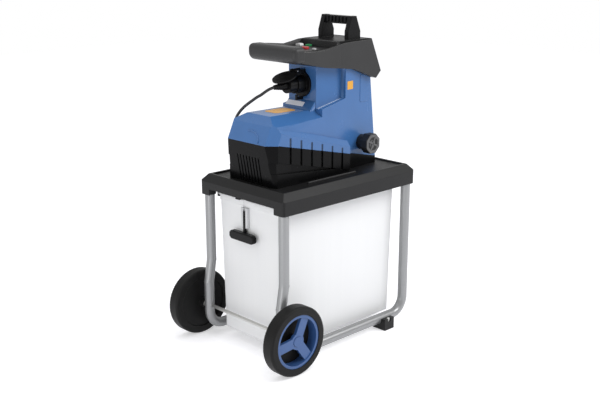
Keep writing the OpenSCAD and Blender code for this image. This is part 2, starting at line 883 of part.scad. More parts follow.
module cover_form(w) {
    intersection() {
        prism(side_plan(w));
        lengthways(-far, 2 * far) polygon([
            [-far, 0], [far, 0], [far, cover_z - cover_shoulder - 3 * far / 4 - w],
            [panel_hw, cover_z - cover_shoulder - (panel_hw - shoulder_hw) - w],
            [shoulder_hw - w, cover_z - cover_shoulder - w * 0.4], [cover_top_hw - w * 0.4, cover_z - w],
            [-cover_top_hw + w * 0.4, cover_z - w], [-shoulder_hw + w, cover_z - cover_shoulder - w * 0.4],
            [-panel_hw, cover_z - cover_shoulder - (panel_hw - shoulder_hw) - w],
            [-far, cover_z - cover_shoulder - 3 * far / 4 - w]]);
        across(far) polygon([
            [-house_front + w, 0], [-house_front + w, seam_z],
            [-house_front + face_lean + w, cover_z - cover_shoulder - w * 0.4],
            [-house_front + face_top_in + w * 0.4, cover_z - w], [recess_x, cover_z - w], [recess_x, 0]]);
    }
}

module tower_form(w) {
    difference() {
        intersection() {
            prism(side_plan(w));
            across(far) polygon(concat(
                [[-tower_front + w, 0], [-tower_front + w, hopper_z - hopper_front_drop - w]], hop_low(w),
                [[tower_top_rear - w, hopper_z - hopper_rear_drop - w], [house_rear - w, seam_at(house_rear)],
                 [house_rear - w, 0]]));
        }
        both_sides() translate([0, -tower_front_hw + w, 0]) rotate([90, 0, 0]) linear_extrude(far)
            polygon([[-tower_front - over, recess_z - recess_fall - w], [recess_x + w, recess_z - w],
                [recess_x + w, 2.5 * far], [-tower_front - over, 2.5 * far]]);
    }
}

module rib_panel_form(w) {
    intersection() {
        prism(octagon(-house_front, panel_end, panel_hw, house_chamfer, w));
        translate([-house_front + 32, 0, rib_z]) rotate([0, rib_slope, 0]) lengthways(-far, 2 * far)
            polygon([[-panel_hw + w, -far], [panel_hw - w, -far], [panel_hw - w, -w * 0.5],
                [panel_hw - rib_band_w, rib_band_h - w], [-panel_hw + rib_band_w, rib_band_h - w],
                [-panel_hw + w, -w * 0.5]]);
        across(far) polygon([
            [-house_front + w, 0], [far, 0], [far, cover_z], [-house_front + face_lean + w,
            cover_z - cover_shoulder],
            [-house_front + w, seam_z]]);
    }
}

// The low ledge where the tower stands on the cover
module ledge_form(w) {
    across(ledge_hw - w) polygon([
        [-tower_front - ledge_l + w, 0], [-tower_front - ledge_l + w, cover_z + over],
        [-tower_front - over, cover_z + ledge_h - w],
        [-tower_front + 2 * house_wall, cover_z + ledge_h - w], [-tower_front + 2 * house_wall, 0]]);
}

// All space inside one leaning corner plane of the cover's wheel end
module nose_side(w) {
    translate([-house_front, house_chamfer - panel_hw, seam_z + over]) rotate([0, -nose_lean, 225])
        translate([-2 * far - w, -far, -far]) cube(2 * far);
}

module upper_form(w) {
    intersection() {
        nose_side(w);
        mirror([0, 1, 0]) nose_side(w);
        union() {
            cover_form(w);
            ledge_form(w);
            tower_form(w);
            rib_panel_form(w);
        }
        across(far) polygon([
            [-far, seam_z - (w > 0 ? over : 0)], [seam_knee, seam_z - (w > 0 ? over : 0)],
            [far, seam_at(far) - (w > 0 ? over : 0)], [far, 3 * far], [-far, 3 * far]]);
    }
}

module upper_housing() {
    place() color(blue) difference() {
        upper_form(0);
        upper_form(house_wall);
        side_slots(slot_groove);
        slab(chute_x0 - hopper_wall - clear, chute_x0 + chute_l + hopper_wall + clear,
            chute_hw + hopper_wall + clear, cover_z, 3 * far);
        rod_y(-far, far, screw_x_r + fit, [knob_x, drum_z]);
        rod_x(-tower_front - over, house_wall + 2 * over, cup_r - cup_t, [0, inlet_z]);
    }
}

// Hopper, panel and controls

function drops(points, x) = [for (p = points) [x + p[0], hopper_z - p[1]]];

module hopper_outline() {
    polygon(concat(
        drops(lip_under, -hopper_front), [[-tower_front, hopper_z - hopper_front_drop]], hop_low(0),
        [[tower_top_rear, hopper_z - hopper_rear_drop], [hopper_rear, hopper_z - hopper_rear_low],
         [hopper_rear - hopper_rear_lean, hopper_z]],
        drops(hopper_rim, 0), drops(lip_over, -hopper_front)));
}

// All space inside one leaning side of the hopper, which is turned in plan by the given angle
module lean_side(taper) {
    translate([flare_x, hopper_hw, hopper_z - draft_drop]) rotate([atan(hopper_draft * cos(taper)), 0,
        -taper])
        translate([-far, -2 * far, -far]) cube(2 * far);
}

module hopper_part(x0, x1, taper) {
    intersection() {
        across(far) hopper_outline();
        slab(x0, x1, far, 0, 3 * far);
        lean_side(taper);
        mirror([0, 1, 0]) lean_side(taper);
    }
}

module hopper_body() {
    flare_l = flare_x + hopper_front;
    intersection() {
        hopper_part(-far, flare_x, atan((lip_end_hw - hopper_hw) / flare_l));
        translate([flare_x, 0, 0]) linear_extrude(3 * far) rounded(2 * flare_l, 2 * lip_end_hw - 8,
            hopper_corner_r);
    }
    hopper_part(flare_x - over, far, 0);
}

module hopper() {
    basin_x0 = chute_x0 + 40;
    basin_x1 = chute_x0 + chute_l + 14;
    mouth = hopper_z - ledge_drop;
    throat = hopper_z - basin_drop;
    chute_x1 = chute_x0 + chute_l;
    place() color(dark) difference() {
        union() {
            hopper_body();
            slab(chute_x0 - hopper_wall, chute_x1 + hopper_wall, chute_hw + hopper_wall, chute_z, throat + 5);
        }
        slab(chute_x0, chute_x1, chute_hw, chute_z - over, throat + 25);
        intersection() {
            across(far) polygon([[chute_x0, throat], [chute_x1, throat], [basin_x1 - 5, mouth],
                [basin_x1 - 5, 3 * far],
                [basin_x0 + 5, 3 * far], [basin_x0 + 5, mouth - 14], [chute_x0, throat + 15]]);
            lengthways(-far, 2 * far) polygon([[-chute_hw, throat], [chute_hw, throat],
                [basin_hw - 5, mouth], [basin_hw - 5, 3 * far], [-basin_hw + 5, 3 * far], [-basin_hw + 5,
                mouth]]);
        }
        slab(basin_x0, basin_x1, basin_hw, mouth, 3 * far);
        slab(deck_x0, deck_x1, deck_hw, panel_z - panel_t, 3 * far);
        across(deck_hw - 6) polygon(concat(drops(panel_cavity, 0), [[deck_x1 - 1, panel_z], [cavity_x0,
            panel_z]]));
        translate([0, -deck_hw, 0]) rotate([90, 0, 0]) linear_extrude(far)
            polygon(concat(drops(hopper_dip, 0), drops([[dip_x1, dip_sky], [dip_x0, dip_sky]], 0)));
    }
}

module control_panel() {
    place() color(black) difference() {
        slab(deck_x0 + clear, deck_x1 - clear, deck_hw - clear, panel_z - panel_t, panel_z);
        for (c = round_controls) translate([c[0], c[1], 0]) cylinder(h = 3 * far, r = c[2] + slack);
        translate([rocker_at[0] - rocker_l / 2 - slack, rocker_at[1] - rocker_w / 2 - clear, 0])
            cube([rocker_l + 2 * slack, rocker_w + 2 * clear, 3 * far]);
    }
}

module round_control(c) {
    translate([c[0], c[1], panel_z - panel_t - slack - 3]) cylinder(h = 3, r = c[2] + 2);
    translate([c[0], c[1], panel_z - panel_t - slack - over]) cylinder(h = panel_t + slack + over + c[3],
        r = c[2]);
}

module start_button() { place() color([0.2, 0.55, 0.25]) round_control(round_controls[0]); }

module stop_button() { place() color([0.75, 0.15, 0.15]) round_control(round_controls[1]); }

module overload_reset() { place() color(silver) round_control(round_controls[2]); }

module direction_switch() {
    place() color(white) translate([rocker_at[0], rocker_at[1], panel_z - 2]) rotate([0, 90,
        0]) intersection() {
        cylinder(h = rocker_l, r = rocker_w / 2, center = true);
        cube([2 * rocker_h, rocker_w, rocker_l], center = true);
    }
}

module pusher() {
    plate_x0 = chute_x0 + 40 + clear;
    plate_x1 = chute_x0 + chute_l + 14 - clear;
    plunger_z = pusher_z - plunger_h;
    leg_mid = (handle_x0 + handle_x1) / 2;
    place() color(black) {
        slab(plate_x0, plate_x1, basin_hw - clear, pusher_z, pusher_top);
        both_sides() translate([0, -handle_w / 2 + handle_t, 0]) rotate([90, 0, 0]) linear_extrude(handle_t)
            polygon([[handle_x0, pusher_top - over], [handle_x1, pusher_top - over], [handle_x1,
                pusher_top + 22],
                [handle_x1 - 17, handle_z], [handle_x0 + 14, handle_z], [handle_x0, pusher_top + 22]]);
        slab(leg_mid - bar_l / 2, leg_mid + bar_l / 2, handle_w / 2 - over, handle_z - over - bar_h,
            handle_z - over);
        slab(chute_x0 + 56, chute_x0 + chute_l - 6, 3, plunger_z, pusher_z + over);
        slab(chute_x0 + plunger_rib_x, chute_x0 + plunger_rib_x + plunger_rib_t, chute_hw - 5, plunger_z,
            pusher_z + over);
        slab(chute_x0 + 50, chute_x0 + chute_l - 3, chute_hw - 4, plunger_z - 6, plunger_z);
    }
}

// Cutter

module cutter_frame() {
    place() color(silver) difference() {
        slab(frame_x0, frame_x1, frame_hw, frame_z0, chute_z);
        slab(frame_x0 + frame_t, frame_x1 - frame_t, frame_hw - frame_t, frame_z0 - over, chute_z + over);
        rod_x(frame_x0 - over, frame_x1 - frame_x0 + 2 * over, bearing_r + fit, drum_at);
        rod_y(-frame_hw - over, frame_t + 2 * over, nut_r + clear, [knob_x, drum_z]);
    }
}

module cutting_drum() {
    place() color(steel) translate([drum_x0, drum_y, drum_z]) rotate([0, 90, 0]) difference() {
        union() {
            cylinder(h = drum_l, r = drum_core_r);
            for (i = [0 : drum_teeth - 1]) rotate([0, 0, (i + 0.5) * 360 / drum_teeth])
                translate([drum_core_r - 3, -4, 0]) cube([sqrt(drum_r * drum_r - 16) - drum_core_r + 3, 8,
                    drum_l]);
        }
        translate([0, 0, -over]) cylinder(h = drum_l + 2 * over, r = shaft_r + fit);
    }
}

module drum_shaft() { place() color(steel) rod_x(stage_2_x - 2, frame_x1 + 2 - stage_2_x + 2, shaft_r,
    drum_at); }

module drum_bearings() {
    place() color(steel) for (x = [frame_x0, frame_x1 - frame_t]) difference() {
        rod_x(x, frame_t, bearing_r, drum_at);
        rod_x(x - over, frame_t + 2 * over, shaft_r + fit, drum_at);
    }
}

module pressure_plate() {
    place() color(steel) difference() {
        union() {
            translate([drum_x0, plate_face - plate_t, drum_z - plate_h / 2]) cube([drum_l + 8, plate_t,
                plate_h]);
            rod_y(-frame_hw - 2, plate_face + frame_hw + 2 - plate_t + over, nut_r, [knob_x, drum_z]);
        }
        rod_y(-frame_hw - 3, plate_face + frame_hw + 3 - 2, screw_x_r + fit, [knob_x, drum_z]);
    }
}

module adjusting_screw() {
    place() color(steel) rod_y(knob_base - knob_neck, plate_face - 6 - knob_base + knob_neck, screw_x_r,
        [knob_x, drum_z]);
}

module adjusting_knob() {
    place() color(dark) difference() {
        union() {
            rod_y(knob_base - knob_neck - over, knob_neck + over, knob_neck_r, [knob_x, drum_z]);
            translate([knob_x, knob_base - knob_neck, drum_z]) rotate([90, 22.5, 0]) cylinder(h = knob_t,
                r = knob_r, $fn = 8);
        }
        rod_y(knob_base - knob_neck, knob_neck + over, screw_x_r + fit, [knob_x, drum_z]);
        translate([knob_x, knob_base - knob_neck - knob_t - over, drum_z]) rotate([-90, 0, 0])
            cylinder(h = knob_dish + over, r = knob_r * 0.42);
    }
}

// Drive

// Half thickness angle of an involute tooth at radius r, in degrees
function tooth_half(n, m, r) = let (base = m * n / 2 * cos(pressure),
    at_pitch = 90 / n - backlash / (m * n) * 90 / PI * 2,
    inv_p = tan(pressure) * 180 / PI - pressure, a = acos(min(1, base / r)), inv_r = tan(a) * 180 / PI - a)
    at_pitch + inv_p - inv_r;

function gear_outline(n, m) = let (
    tip = m * (n / 2 + 0.85), root = m * (n / 2 - 1.25), base = m * n / 2 * cos(pressure),
    low = max(root, base), steps = [low, (low + tip) / 2, tip])
    [for (i = [0 : n - 1]) each concat(
        [root * dir(i * 360 / n - tooth_half(n, m, low))],
        [for (r = steps) r * dir(i * 360 / n - tooth_half(n, m, r))],
        [for (k = [2 : -1 : 0]) steps[k] * dir(i * 360 / n + tooth_half(n, m, steps[k]))],
        [root * dir(i * 360 / n + tooth_half(n, m, low))])];

function dir(a) = [cos(a), sin(a)];

function heading(a, b) = atan2(b[1] - a[1], b[0] - a[0]);

// A gear on an axis along X, with tooth 0 turned to the given angle
module gear_x(x0, thick, n, m, at, turn) {
    lengthways(x0, thick) translate(at) rotate(turn) polygon(gear_outline(n, m));
}

module gear_case() {
    idler_tip = module_1 * (idler_n / 2 + 1);
    drum_tip = gear_2_r + module_2;
    y0 = idler_at[0] - idler_tip - case_t - case_gap;
    y1 = drum_y + drum_tip + case_t + case_gap;
    z0 = deck_z + house_wall;
    z1 = max(drum_z + drum_tip, idler_at[1] + idler_tip) + case_t + case_gap;
    place() color(silver) difference() {
        translate([case_x0, y0, z0]) cube([case_x1 - case_x0, y1 - y0, z1 - z0]);
        translate([case_x0 + case_t, y0 + case_t, z0 + case_t])
            cube([case_x1 - case_x0 - 2 * case_t, y1 - y0 - 2 * case_t, z1 - z0 - 2 * case_t]);
        rod_x(case_x0 - over, case_t + 2 * over, motor_shaft_r + clear, motor_at);
        rod_x(case_x1 - case_t - over, case_t + 2 * over, shaft_r + clear, drum_at);
        rod_x(case_x0 - over, case_x1 - case_x0 + 2 * over, idler_r + fit, idler_at);
    }
}

module drum_gear() {
    place() color(steel) difference() {
        gear_x(stage_2_x, gear_2_t, drum_n, module_2, drum_at, heading(drum_at, idler_at) + 180 / drum_n);
        rod_x(stage_2_x - over, gear_2_t + 2 * over, shaft_r + fit, drum_at);
    }
}

module idler_gear() {
    place() color(steel) difference() {
        union() {
            gear_x(stage_1_x, gear_1_t, idler_n, module_1, idler_at, heading(idler_at,
                motor_at) + 180 / idler_n);
            rod_x(stage_1_x + over, stage_2_x - stage_1_x, pinion_2_r * 0.7, idler_at);
            gear_x(stage_2_x, gear_2_t, pinion_n, module_2, idler_at, heading(idler_at, drum_at));
        }
        rod_x(stage_1_x - over, far, idler_r + fit, idler_at);
    }
}

module idler_pin() { place() color(steel) rod_x(case_x0, case_x1 - case_x0, idler_r, idler_at); }

module motor_can() {
    seat = bearing_m_r + fit;
    place() color(dark) difference() {
        union() {
            difference() {
                rod_x(motor_x0, motor_l, motor_r, motor_at);
                rod_x(motor_x0 + can_t, motor_l - 2 * can_t, motor_r - can_t, motor_at);
            }
            rod_x(motor_x0 + over, bearing_m_t + can_t, seat + 3, motor_at);
            rod_x(motor_x1 - bearing_m_t - can_t - over, bearing_m_t + can_t, seat + 3, motor_at);
        }
        rod_x(motor_x0 - over, motor_l + 2 * over, motor_shaft_r + clear, motor_at);
        rod_x(motor_x0 + can_t, bearing_m_t + 2 * over, seat, motor_at);
        rod_x(motor_x1 - can_t - bearing_m_t - 2 * over, bearing_m_t + 2 * over, seat, motor_at);
    }
}

module stator_core() {
    place() color(steel) difference() {
        rod_x(motor_x0 + core_inset, motor_l - 2 * core_inset, motor_r - can_t - fit, motor_at);
        rod_x(motor_x0, motor_l, rotor_r + air_gap, motor_at);
    }
}

module rotor_core() {
    place() color(steel) difference() {
        rod_x(motor_x0 + core_inset, motor_l - 2 * core_inset, rotor_r, motor_at);
        rod_x(motor_x0, motor_l, motor_shaft_r + fit, motor_at);
    }
}

module motor_shaft() {
    start = motor_x0 - fan_gap - fan_t - 2;
    place() color(steel) {
        rod_x(start, stage_1_x - start + over, motor_shaft_r, motor_at);
        gear_x(stage_1_x, gear_1_t, pinion_n, module_1, motor_at, heading(motor_at, idler_at));
    }
}

module motor_bearings() {
    place() color(steel) for (x = [motor_x0 + can_t, motor_x1 - can_t - bearing_m_t]) difference() {
        rod_x(x, bearing_m_t, bearing_m_r, motor_at);
        rod_x(x - over, bearing_m_t + 2 * over, motor_shaft_r + fit, motor_at);
    }
}

module cooling_fan() {
    x0 = motor_x0 - fan_gap - fan_t;
    place() color(dark) difference() {
        union() {
            rod_x(x0 + fan_t - 3, 3, fan_r, motor_at);
            rod_x(x0, fan_t, 14, motor_at);
            for (i = [0 : 8]) translate([x0, motor_at[0], motor_at[1]]) rotate([i * 40, 0, 0])
                translate([0, 12, -1.5]) cube([fan_t - over, fan_r - 14, 3]);
        }
        rod_x(x0 - over, fan_t + 2 * over, motor_shaft_r + fit, motor_at);
    }
}

module run_capacitor() {
    place() color(silver)
        rod_x(motor_x0 + 20, capacitor_l, capacitor_r, [-cradle_hw - capacitor_r - 6,
            deck_z + house_wall + capacitor_r]);
}

// Inlet

module inlet_socket() {
    axis = [0, inlet_z];
    place() color(black) difference() {
        union() {
            rod_x(inlet_x - inlet_t, inlet_t, inlet_r, axis);
            rod_x(inlet_x - inlet_t - cup_l, cup_l + over, cup_r, axis);
            for (s = [-1, 1]) translate([hinge_x - 4, s * (ear_y + ear_t / 2) - ear_t / 2, hinge_z - 10])
                cube([inlet_x - hinge_x + 4, ear_t, 14]);
            slab(inlet_x - hook_l, inlet_x, hook_w / 2, inlet_z - inlet_r - hook_w, inlet_z - inlet_r + over);
            slab(inlet_x - hook_l, inlet_x - hook_l + 4, hook_w / 2, inlet_z - inlet_r,
                inlet_z - inlet_r + hook_w);
        }
        rod_x(inlet_x - inlet_t - cup_l - over, cup_l + over, cup_r - cup_t, axis);
        rod_y(-far, 2 * far, hinge_r + fit, [hinge_x, hinge_z]);
        for (p = pin_spots) rod_x(inlet_x - 2 * inlet_t, far, pin_r + fit, axis + p);
    }
}

module inlet_pins() {
    place() color([0.75, 0.62, 0.3]) for (p = pin_spots) rod_x(inlet_x - inlet_t - 20, 20 + inlet_t + 6,
        pin_r, [0, inlet_z] + p);
}

module inlet_lid() {
    place() translate([hinge_x, 0, hinge_z]) rotate([0, -lid_droop, 0]) color(black) difference() {
        union() {
            translate([-lid_r - 4, 0, -lid_t / 2]) cylinder(h = lid_t, r = lid_r);
            translate([-12, -ear_y + slack, -lid_t / 2]) cube([12, 2 * (ear_y - slack), lid_t]);
            rod_y(-ear_y + slack, 2 * (ear_y - slack), hinge_r + 2, [0, 0]);
        }
        rod_y(-far, 2 * far, hinge_r + fit, [0, 0]);
    }
}

module lid_hinge_pin() { place() color(steel) rod_y(-ear_y - ear_t, 2 * (ear_y + ear_t), hinge_r, [hinge_x,
    hinge_z]); }

// Lead

module lead_connector() {
    place() color(black) difference() {
        rod_x(relief_x, connector_l, connector_r, [0, inlet_z]);
        for (p = pin_spots) rod_x(relief_x + connector_l - 24, 24 + over, pin_r + slack, [0, inlet_z] + p);
    }
}

// A ribbed taper along local Z, from the wide end to the cord
module taper(length, wide, rings) {
    cylinder(h = length, r1 = wide, r2 = cord_r + 1);
    for (i = [1 : rings]) translate([0, 0, length * i / (rings + 1)])
        cylinder(h = length / (rings + 1) * 0.5, r = wide + (cord_r + 1 - wide) * i / (rings + 1) + 0.8);
}

module lead_relief() { place() color(black) translate([relief_x, 0, inlet_z]) rotate([0, -90,
    0]) taper(relief_l, 11, 6); }

// One closed tube of flat-sided rings round a list of points
function ring_at(points, i, sides, r) = let (
    a = points[max(0, i - 1)], b = points[min(len(points) - 1, i + 1)], t = (b - a) / norm(b - a),
    u0 = cross(t, cord_ref), u = u0 / norm(u0), v = cross(t, u))
    [for (k = [0 : sides - 1]) points[i] + r * (cos(k * 360 / sides) * u + sin(k * 360 / sides) * v)];

module tube(points, sides, r) {
    n = len(points);
    polyhedron(
        [for (i = [0 : n - 1]) each ring_at(points, i, sides, r)],
        concat(
            [for (i = [0 : n - 2], k = [0 : sides - 1]) each let (a = i * sides + k,
                b = i * sides + (k + 1) % sides)
                [[a, a + sides, b], [b, a + sides, b + sides]]],
            [for (k = [1 : sides - 2]) [0, k, k + 1]],
            [for (k = [1 : sides - 2]) let (e = (n - 1) * sides) [e, e + k + 1, e + k]]));
}

// A smooth point between b and c, at share s, with neighbours a and d
function smooth(a, b, c, d, s) =
    0.5 * (2 * b + (c - a) * s + (2 * a - 5 * b + 4 * c - d) * s * s + (3 * b - a - 3 * c + d) * s * s * s);

function eased(p, parts) = let (n = len(p)) concat(
    [for (i = [0 : n - 2], k = [0 : parts - 1])
        smooth(p[max(0, i - 1)], p[i], p[i + 1], p[min(n - 1, i + 2)], k / parts)], [p[n - 1]]);

function path_length(p) =
    let (steps = [for (i = [1 : len(p) - 1]) norm(p[i] - p[i - 1])]) steps * [for (s = steps) 1];

function ramp(s) = let (c = max(0, min(1, s))) c * c * (3 - 2 * c);

in_turns = (coil_turns - 0.5) / 2;
coil_end = coil_start + coil_turns * 360;
tail_turns = 0.2;

function coil_radius(t) = t < in_turns ? coil_out - coil_step * t
    : t < in_turns + 0.5 ? coil_out - coil_step * in_turns
    : coil_out - coil_step * in_turns + coil_step * (t - in_turns - 0.5);

function coil_height(t) = coil_z + coil_rise * ramp((t - in_turns) / 0.5)
    + (plug_z - coil_z - coil_rise) * ramp((t - coil_turns + tail_turns) / tail_turns);

function coil_point(t) = let (a = coil_start + 360 * t, r = coil_radius(t))
    [coil_at[0] + r * cos(a), coil_at[1] + r * sin(a), coil_height(t)];

coil_last = coil_point(coil_turns);
tail_dir = [-sin(coil_end), cos(coil_end), 0];
tail_end = coil_last + tail_dir * cord_d;
coil_path = concat([coil_point(0) - [cord_d, 0, 0]],
    [for (i = [0 : coil_turns * loop_rings]) coil_point(i / loop_rings)], [tail_end]);
coil_gap = min([for (i = [0 : len(coil_path) - 1], j = [i + loop_rings / 2 : len(coil_path) - 1])
    norm(coil_path[i] - coil_path[j])]) - cord_d;

cord_path = eased(cord_route, 2);
echo(coil_least_gap = coil_gap, stretch = path_length(cord_path), coil = path_length(coil_path));

module lead_cord() { place() color(black) tube(cord_path, cord_sides, cord_r); }

module lead_coil() { place() color(black) tube(coil_path, coil_sides, cord_r); }

module coil_tie() {
    mid = coil_out - coil_step * in_turns / 2;
    half = coil_step * in_turns / 2 + cord_r + 4;
    top = coil_z + coil_rise + cord_r + slack;
    place() color(dark) translate([coil_at[0] + mid, coil_at[1], 0]) difference() {
        translate([-half - tie_t, -tie_w / 2, 0.2]) cube([2 * (half + tie_t), tie_w, top + tie_t - 0.2]);
        translate([-half, -tie_w, 0.2 + tie_t]) cube([2 * half, 2 * tie_w, top - tie_t - 0.2]);
    }
}

module at_plug() { place() translate(tail_end) rotate([0, 0, atan2(tail_dir[1], tail_dir[0])]) rotate([0,
    90, 0]) children(); }

module plug_relief() { color(black) at_plug() translate([0, 0, plug_relief_l]) mirror([0, 0,
    1]) taper(plug_relief_l, 9, 5); }

module lead_plug() {
    color(black) at_plug() translate([0, 0, plug_relief_l]) {
        cylinder(h = plug_l * 0.4, r1 = plug_r * 0.7, r2 = plug_r);
        translate([0, 0, plug_l * 0.4]) cylinder(h = plug_l * 0.6, r = plug_r);
    }
}

module plug_pins() {
    color(steel) at_plug() translate([0, 0, plug_relief_l + plug_l]) for (s = [-1, 1])
        translate([0, s * plug_pin_gap / 2, 0]) cylinder(h = 19, r = 2.4);
}

top_tray();
near_side_tube();
far_side_tube();
axle();
near_tyre();
far_tyre();
near_hub();
far_hub();
wheel_washers();
axle_caps();
near_foot();
far_foot();
foot_bolts();
socket_screws();
collection_box();
lock_channel();
lock_slider();
safety_switch();
lower_housing();
upper_housing();
unit_bolts();
hopper();
control_panel();
start_button();
stop_button();
direction_switch();
overload_reset();
pusher();
cutter_frame();
cutting_drum();
drum_shaft();
drum_bearings();
pressure_plate();
adjusting_screw();
adjusting_knob();
gear_case();
drum_gear();
idler_gear();
idler_pin();
motor_can();
stator_core();
rotor_core();
motor_shaft();
motor_bearings();
cooling_fan();
run_capacitor();
inlet_socket();
inlet_pins();
inlet_lid();
lid_hinge_pin();
lead_connector();
lead_relief();
lead_cord();
lead_coil();
coil_tie();
plug_relief();
lead_plug();
plug_pins();
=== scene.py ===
# %% [markdown]
# # A garden shredder on a wheeled stand
# The solids come from the part's own CAD model, in metres and already in place. This notebook gives them
# their finishes, adds the moulded details that are too fine for the CAD, and sets up the studio picture.
# Most places in it are in millimetres from the middle of the tray, and `at` turns them into Blender's
# metres.

# %% Load the solids
import math
import bpy
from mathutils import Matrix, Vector


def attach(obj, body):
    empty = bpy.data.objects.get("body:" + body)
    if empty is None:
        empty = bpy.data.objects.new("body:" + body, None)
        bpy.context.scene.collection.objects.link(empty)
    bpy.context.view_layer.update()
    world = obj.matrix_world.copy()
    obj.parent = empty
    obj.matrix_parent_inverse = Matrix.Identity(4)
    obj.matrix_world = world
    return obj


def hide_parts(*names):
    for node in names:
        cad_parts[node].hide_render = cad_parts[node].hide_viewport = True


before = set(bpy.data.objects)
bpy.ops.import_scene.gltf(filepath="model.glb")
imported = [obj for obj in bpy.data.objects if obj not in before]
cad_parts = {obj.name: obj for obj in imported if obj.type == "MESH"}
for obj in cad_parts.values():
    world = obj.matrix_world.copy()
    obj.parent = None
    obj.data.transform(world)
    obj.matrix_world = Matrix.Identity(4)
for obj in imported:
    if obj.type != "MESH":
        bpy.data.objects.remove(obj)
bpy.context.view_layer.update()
TRAY_X = 0.0445
MM = 0.001


def at(x, y, z):
    """A place in metres from millimetres measured from the tray's middle."""
    return Vector((x, y, z)) * MM + Vector((TRAY_X, 0, 0))


# %% [markdown]
# ## Camera
# The photograph looks down a little on one corner of the machine. The place and lens come from fitting a
# camera to the tray, the legs and the wheels, so the same numbers are given here.

# %% Camera
camera_data = bpy.data.cameras.new("photo_camera")
camera_data.sensor_width = 36.0
camera_data.lens = 56.56
camera = bpy.data.objects.new("photo_camera", camera_data)
camera.location = (TRAY_X - 1.83096, -1.86385, 1.10982)
camera.rotation_euler = (math.radians(74.6), 0.0, math.radians(-43.88))
bpy.context.scene.collection.objects.link(camera)
bpy.context.scene.camera = camera
print("camera at", tuple(camera.location))

# %% [markdown]
# ## Supply lead
# A rubber lead leaves the strain relief behind the connector, drops behind the far side of the stand and
# ends in a tied coil and a plug on the floor. A row of cylinders could follow it, but a curve with a
# round bevel is the natural tool: it keeps one length and one diameter. Its points repeat the CAD route.

# %% Lead route
CORD_D = 0.008
COIL_AT = (0.010, 0.240)
COIL_OUT, COIL_STEP, COIL_TURNS, COIL_START = 0.059, 0.0102, 5.625, -90.0
COIL_Z, COIL_RISE, PLUG_Z, TAIL_TURNS = 0.0051, 0.009, 0.0183, 0.2
IN_TURNS = (COIL_TURNS - 0.5) / 2
ROUTE_MM = [
    (-137, 0, 729), (-149, 2, 726), (-159, 7, 720), (-169, 15, 711), (-177, 24, 704), (-182, 34, 696),
    (-187, 47, 686), (-190, 60, 676), (-191, 73, 665), (-190, 86, 653), (-187, 98, 641), (-183, 107, 626),
    (-178, 112, 607), (-173, 116, 586), (-167, 121, 565), (-159, 129, 546), (-148, 140, 529),
    (-136, 154, 514), (-125, 172, 499), (-116, 182, 480), (-110, 187, 456), (-106, 188, 420),
    (-102, 188, 370), (-98, 188, 310), (-94, 187, 250), (-90, 186, 190), (-87, 185, 140), (-84, 184, 100),
    (-80, 183, 68), (-72, 182, 42), (-60, 181, 23), (-44, 181, 11), (-26, 181, 6), (-8, 181, 5.1),
    (2, 181, 5.1)]


def smooth_point(a, b, c, d, s):
    """The point at share s from b to c, on a smooth curve that also heeds a and d."""
    bend = 2 * a - 5 * b + 4 * c - d
    twist = 3 * b - a - 3 * c + d
    return 0.5 * (2 * b + (c - a) * s + bend * s ** 2 + twist * s ** 3)


def eased(points, parts):
    """The same route with each step cut into parts on a smooth curve."""
    padded = [points[0]] + points + [points[-1]]
    fours = zip(padded, padded[1:], padded[2:], padded[3:])
    return [smooth_point(*four, k / parts) for four in fours for k in range(parts)] + [points[-1]]


def ramp(s):
    """Rises from 0 to 1 with a gentle start and end."""
    s = max(0.0, min(1.0, s))
    return s * s * (3 - 2 * s)


def coil_point(turn):
    """The cord's middle after so many turns: inwards on the floor, then outwards on top."""
    inner = COIL_OUT - COIL_STEP * IN_TURNS
    if turn < IN_TURNS:
        radius = COIL_OUT - COIL_STEP * turn
    else:
        radius = inner + COIL_STEP * max(0.0, turn - IN_TURNS - 0.5)
    angle = math.radians(COIL_START + 360 * turn)
    height = COIL_Z + COIL_RISE * ramp((turn - IN_TURNS) / 0.5)
    height += (PLUG_Z - COIL_Z - COIL_RISE) * ramp((turn - COIL_TURNS + TAIL_TURNS) / TAIL_TURNS)
    return Vector((COIL_AT[0] + radius * math.cos(angle), COIL_AT[1] + radius * math.sin(angle), height))


RINGS = 24
stretch = eased([Vector(p) * MM for p in ROUTE_MM], 4)
coil = [coil_point(i / RINGS) for i in range(int(COIL_TURNS * RINGS) + 1)]
end_angle = math.radians(COIL_START + 360 * COIL_TURNS)
coil.append(coil[-1] + Vector((-math.sin(end_angle), math.cos(end_angle), 0)) * CORD_D)
lead_path = [p + Vector((TRAY_X, 0, 0)) for p in stretch + coil]
lead_length = sum((b - a).length for a, b in zip(lead_path, lead_path[1:]))
print("lead length", round(lead_length, 3))

# %% [markdown]
# The curve carries the points above. Blender counts each point's radius into the size of a curve, so the
# lead's radius is set there and the bevel depth stays at one.

# %% Lead curve
lead_curve = bpy.data.curves.new("supply_lead", "CURVE")
lead_curve.dimensions = "3D"
lead_curve.bevel_depth = 1.0
lead_curve.bevel_resolution = 3
lead_curve.use_fill_caps = True
spline = lead_curve.splines.new("POLY")
spline.points.add(len(lead_path) - 1)
for spot, point in zip(spline.points, lead_path):
    spot.co, spot.radius = (*point, 1.0), CORD_D / 2
spline.use_smooth = True
supply_lead = bpy.data.objects.new("supply_lead", lead_curve)
bpy.context.scene.collection.objects.link(supply_lead)
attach(supply_lead, "machine")
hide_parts("lead_cord", "lead_coil")
tuple(lead_path[0])
print("lead points", len(lead_path))

# %% [markdown]
# ## Softer mouldings
# Real mouldings have no knife edges. The large ones could be drawn again from scratch, but their CAD
# shape is right, so each is copied, its doubled points are merged, its flat triangles are dissolved into
# whole faces, and then its outward edges are bevelled. An operator acts on all that is selected, so two
# small helpers come first: one leaves a single object selected, and one opens it with only the picked
# parts selected.

# %% Picking tools
PICK_KINDS = ("VERT", "EDGE", "FACE")


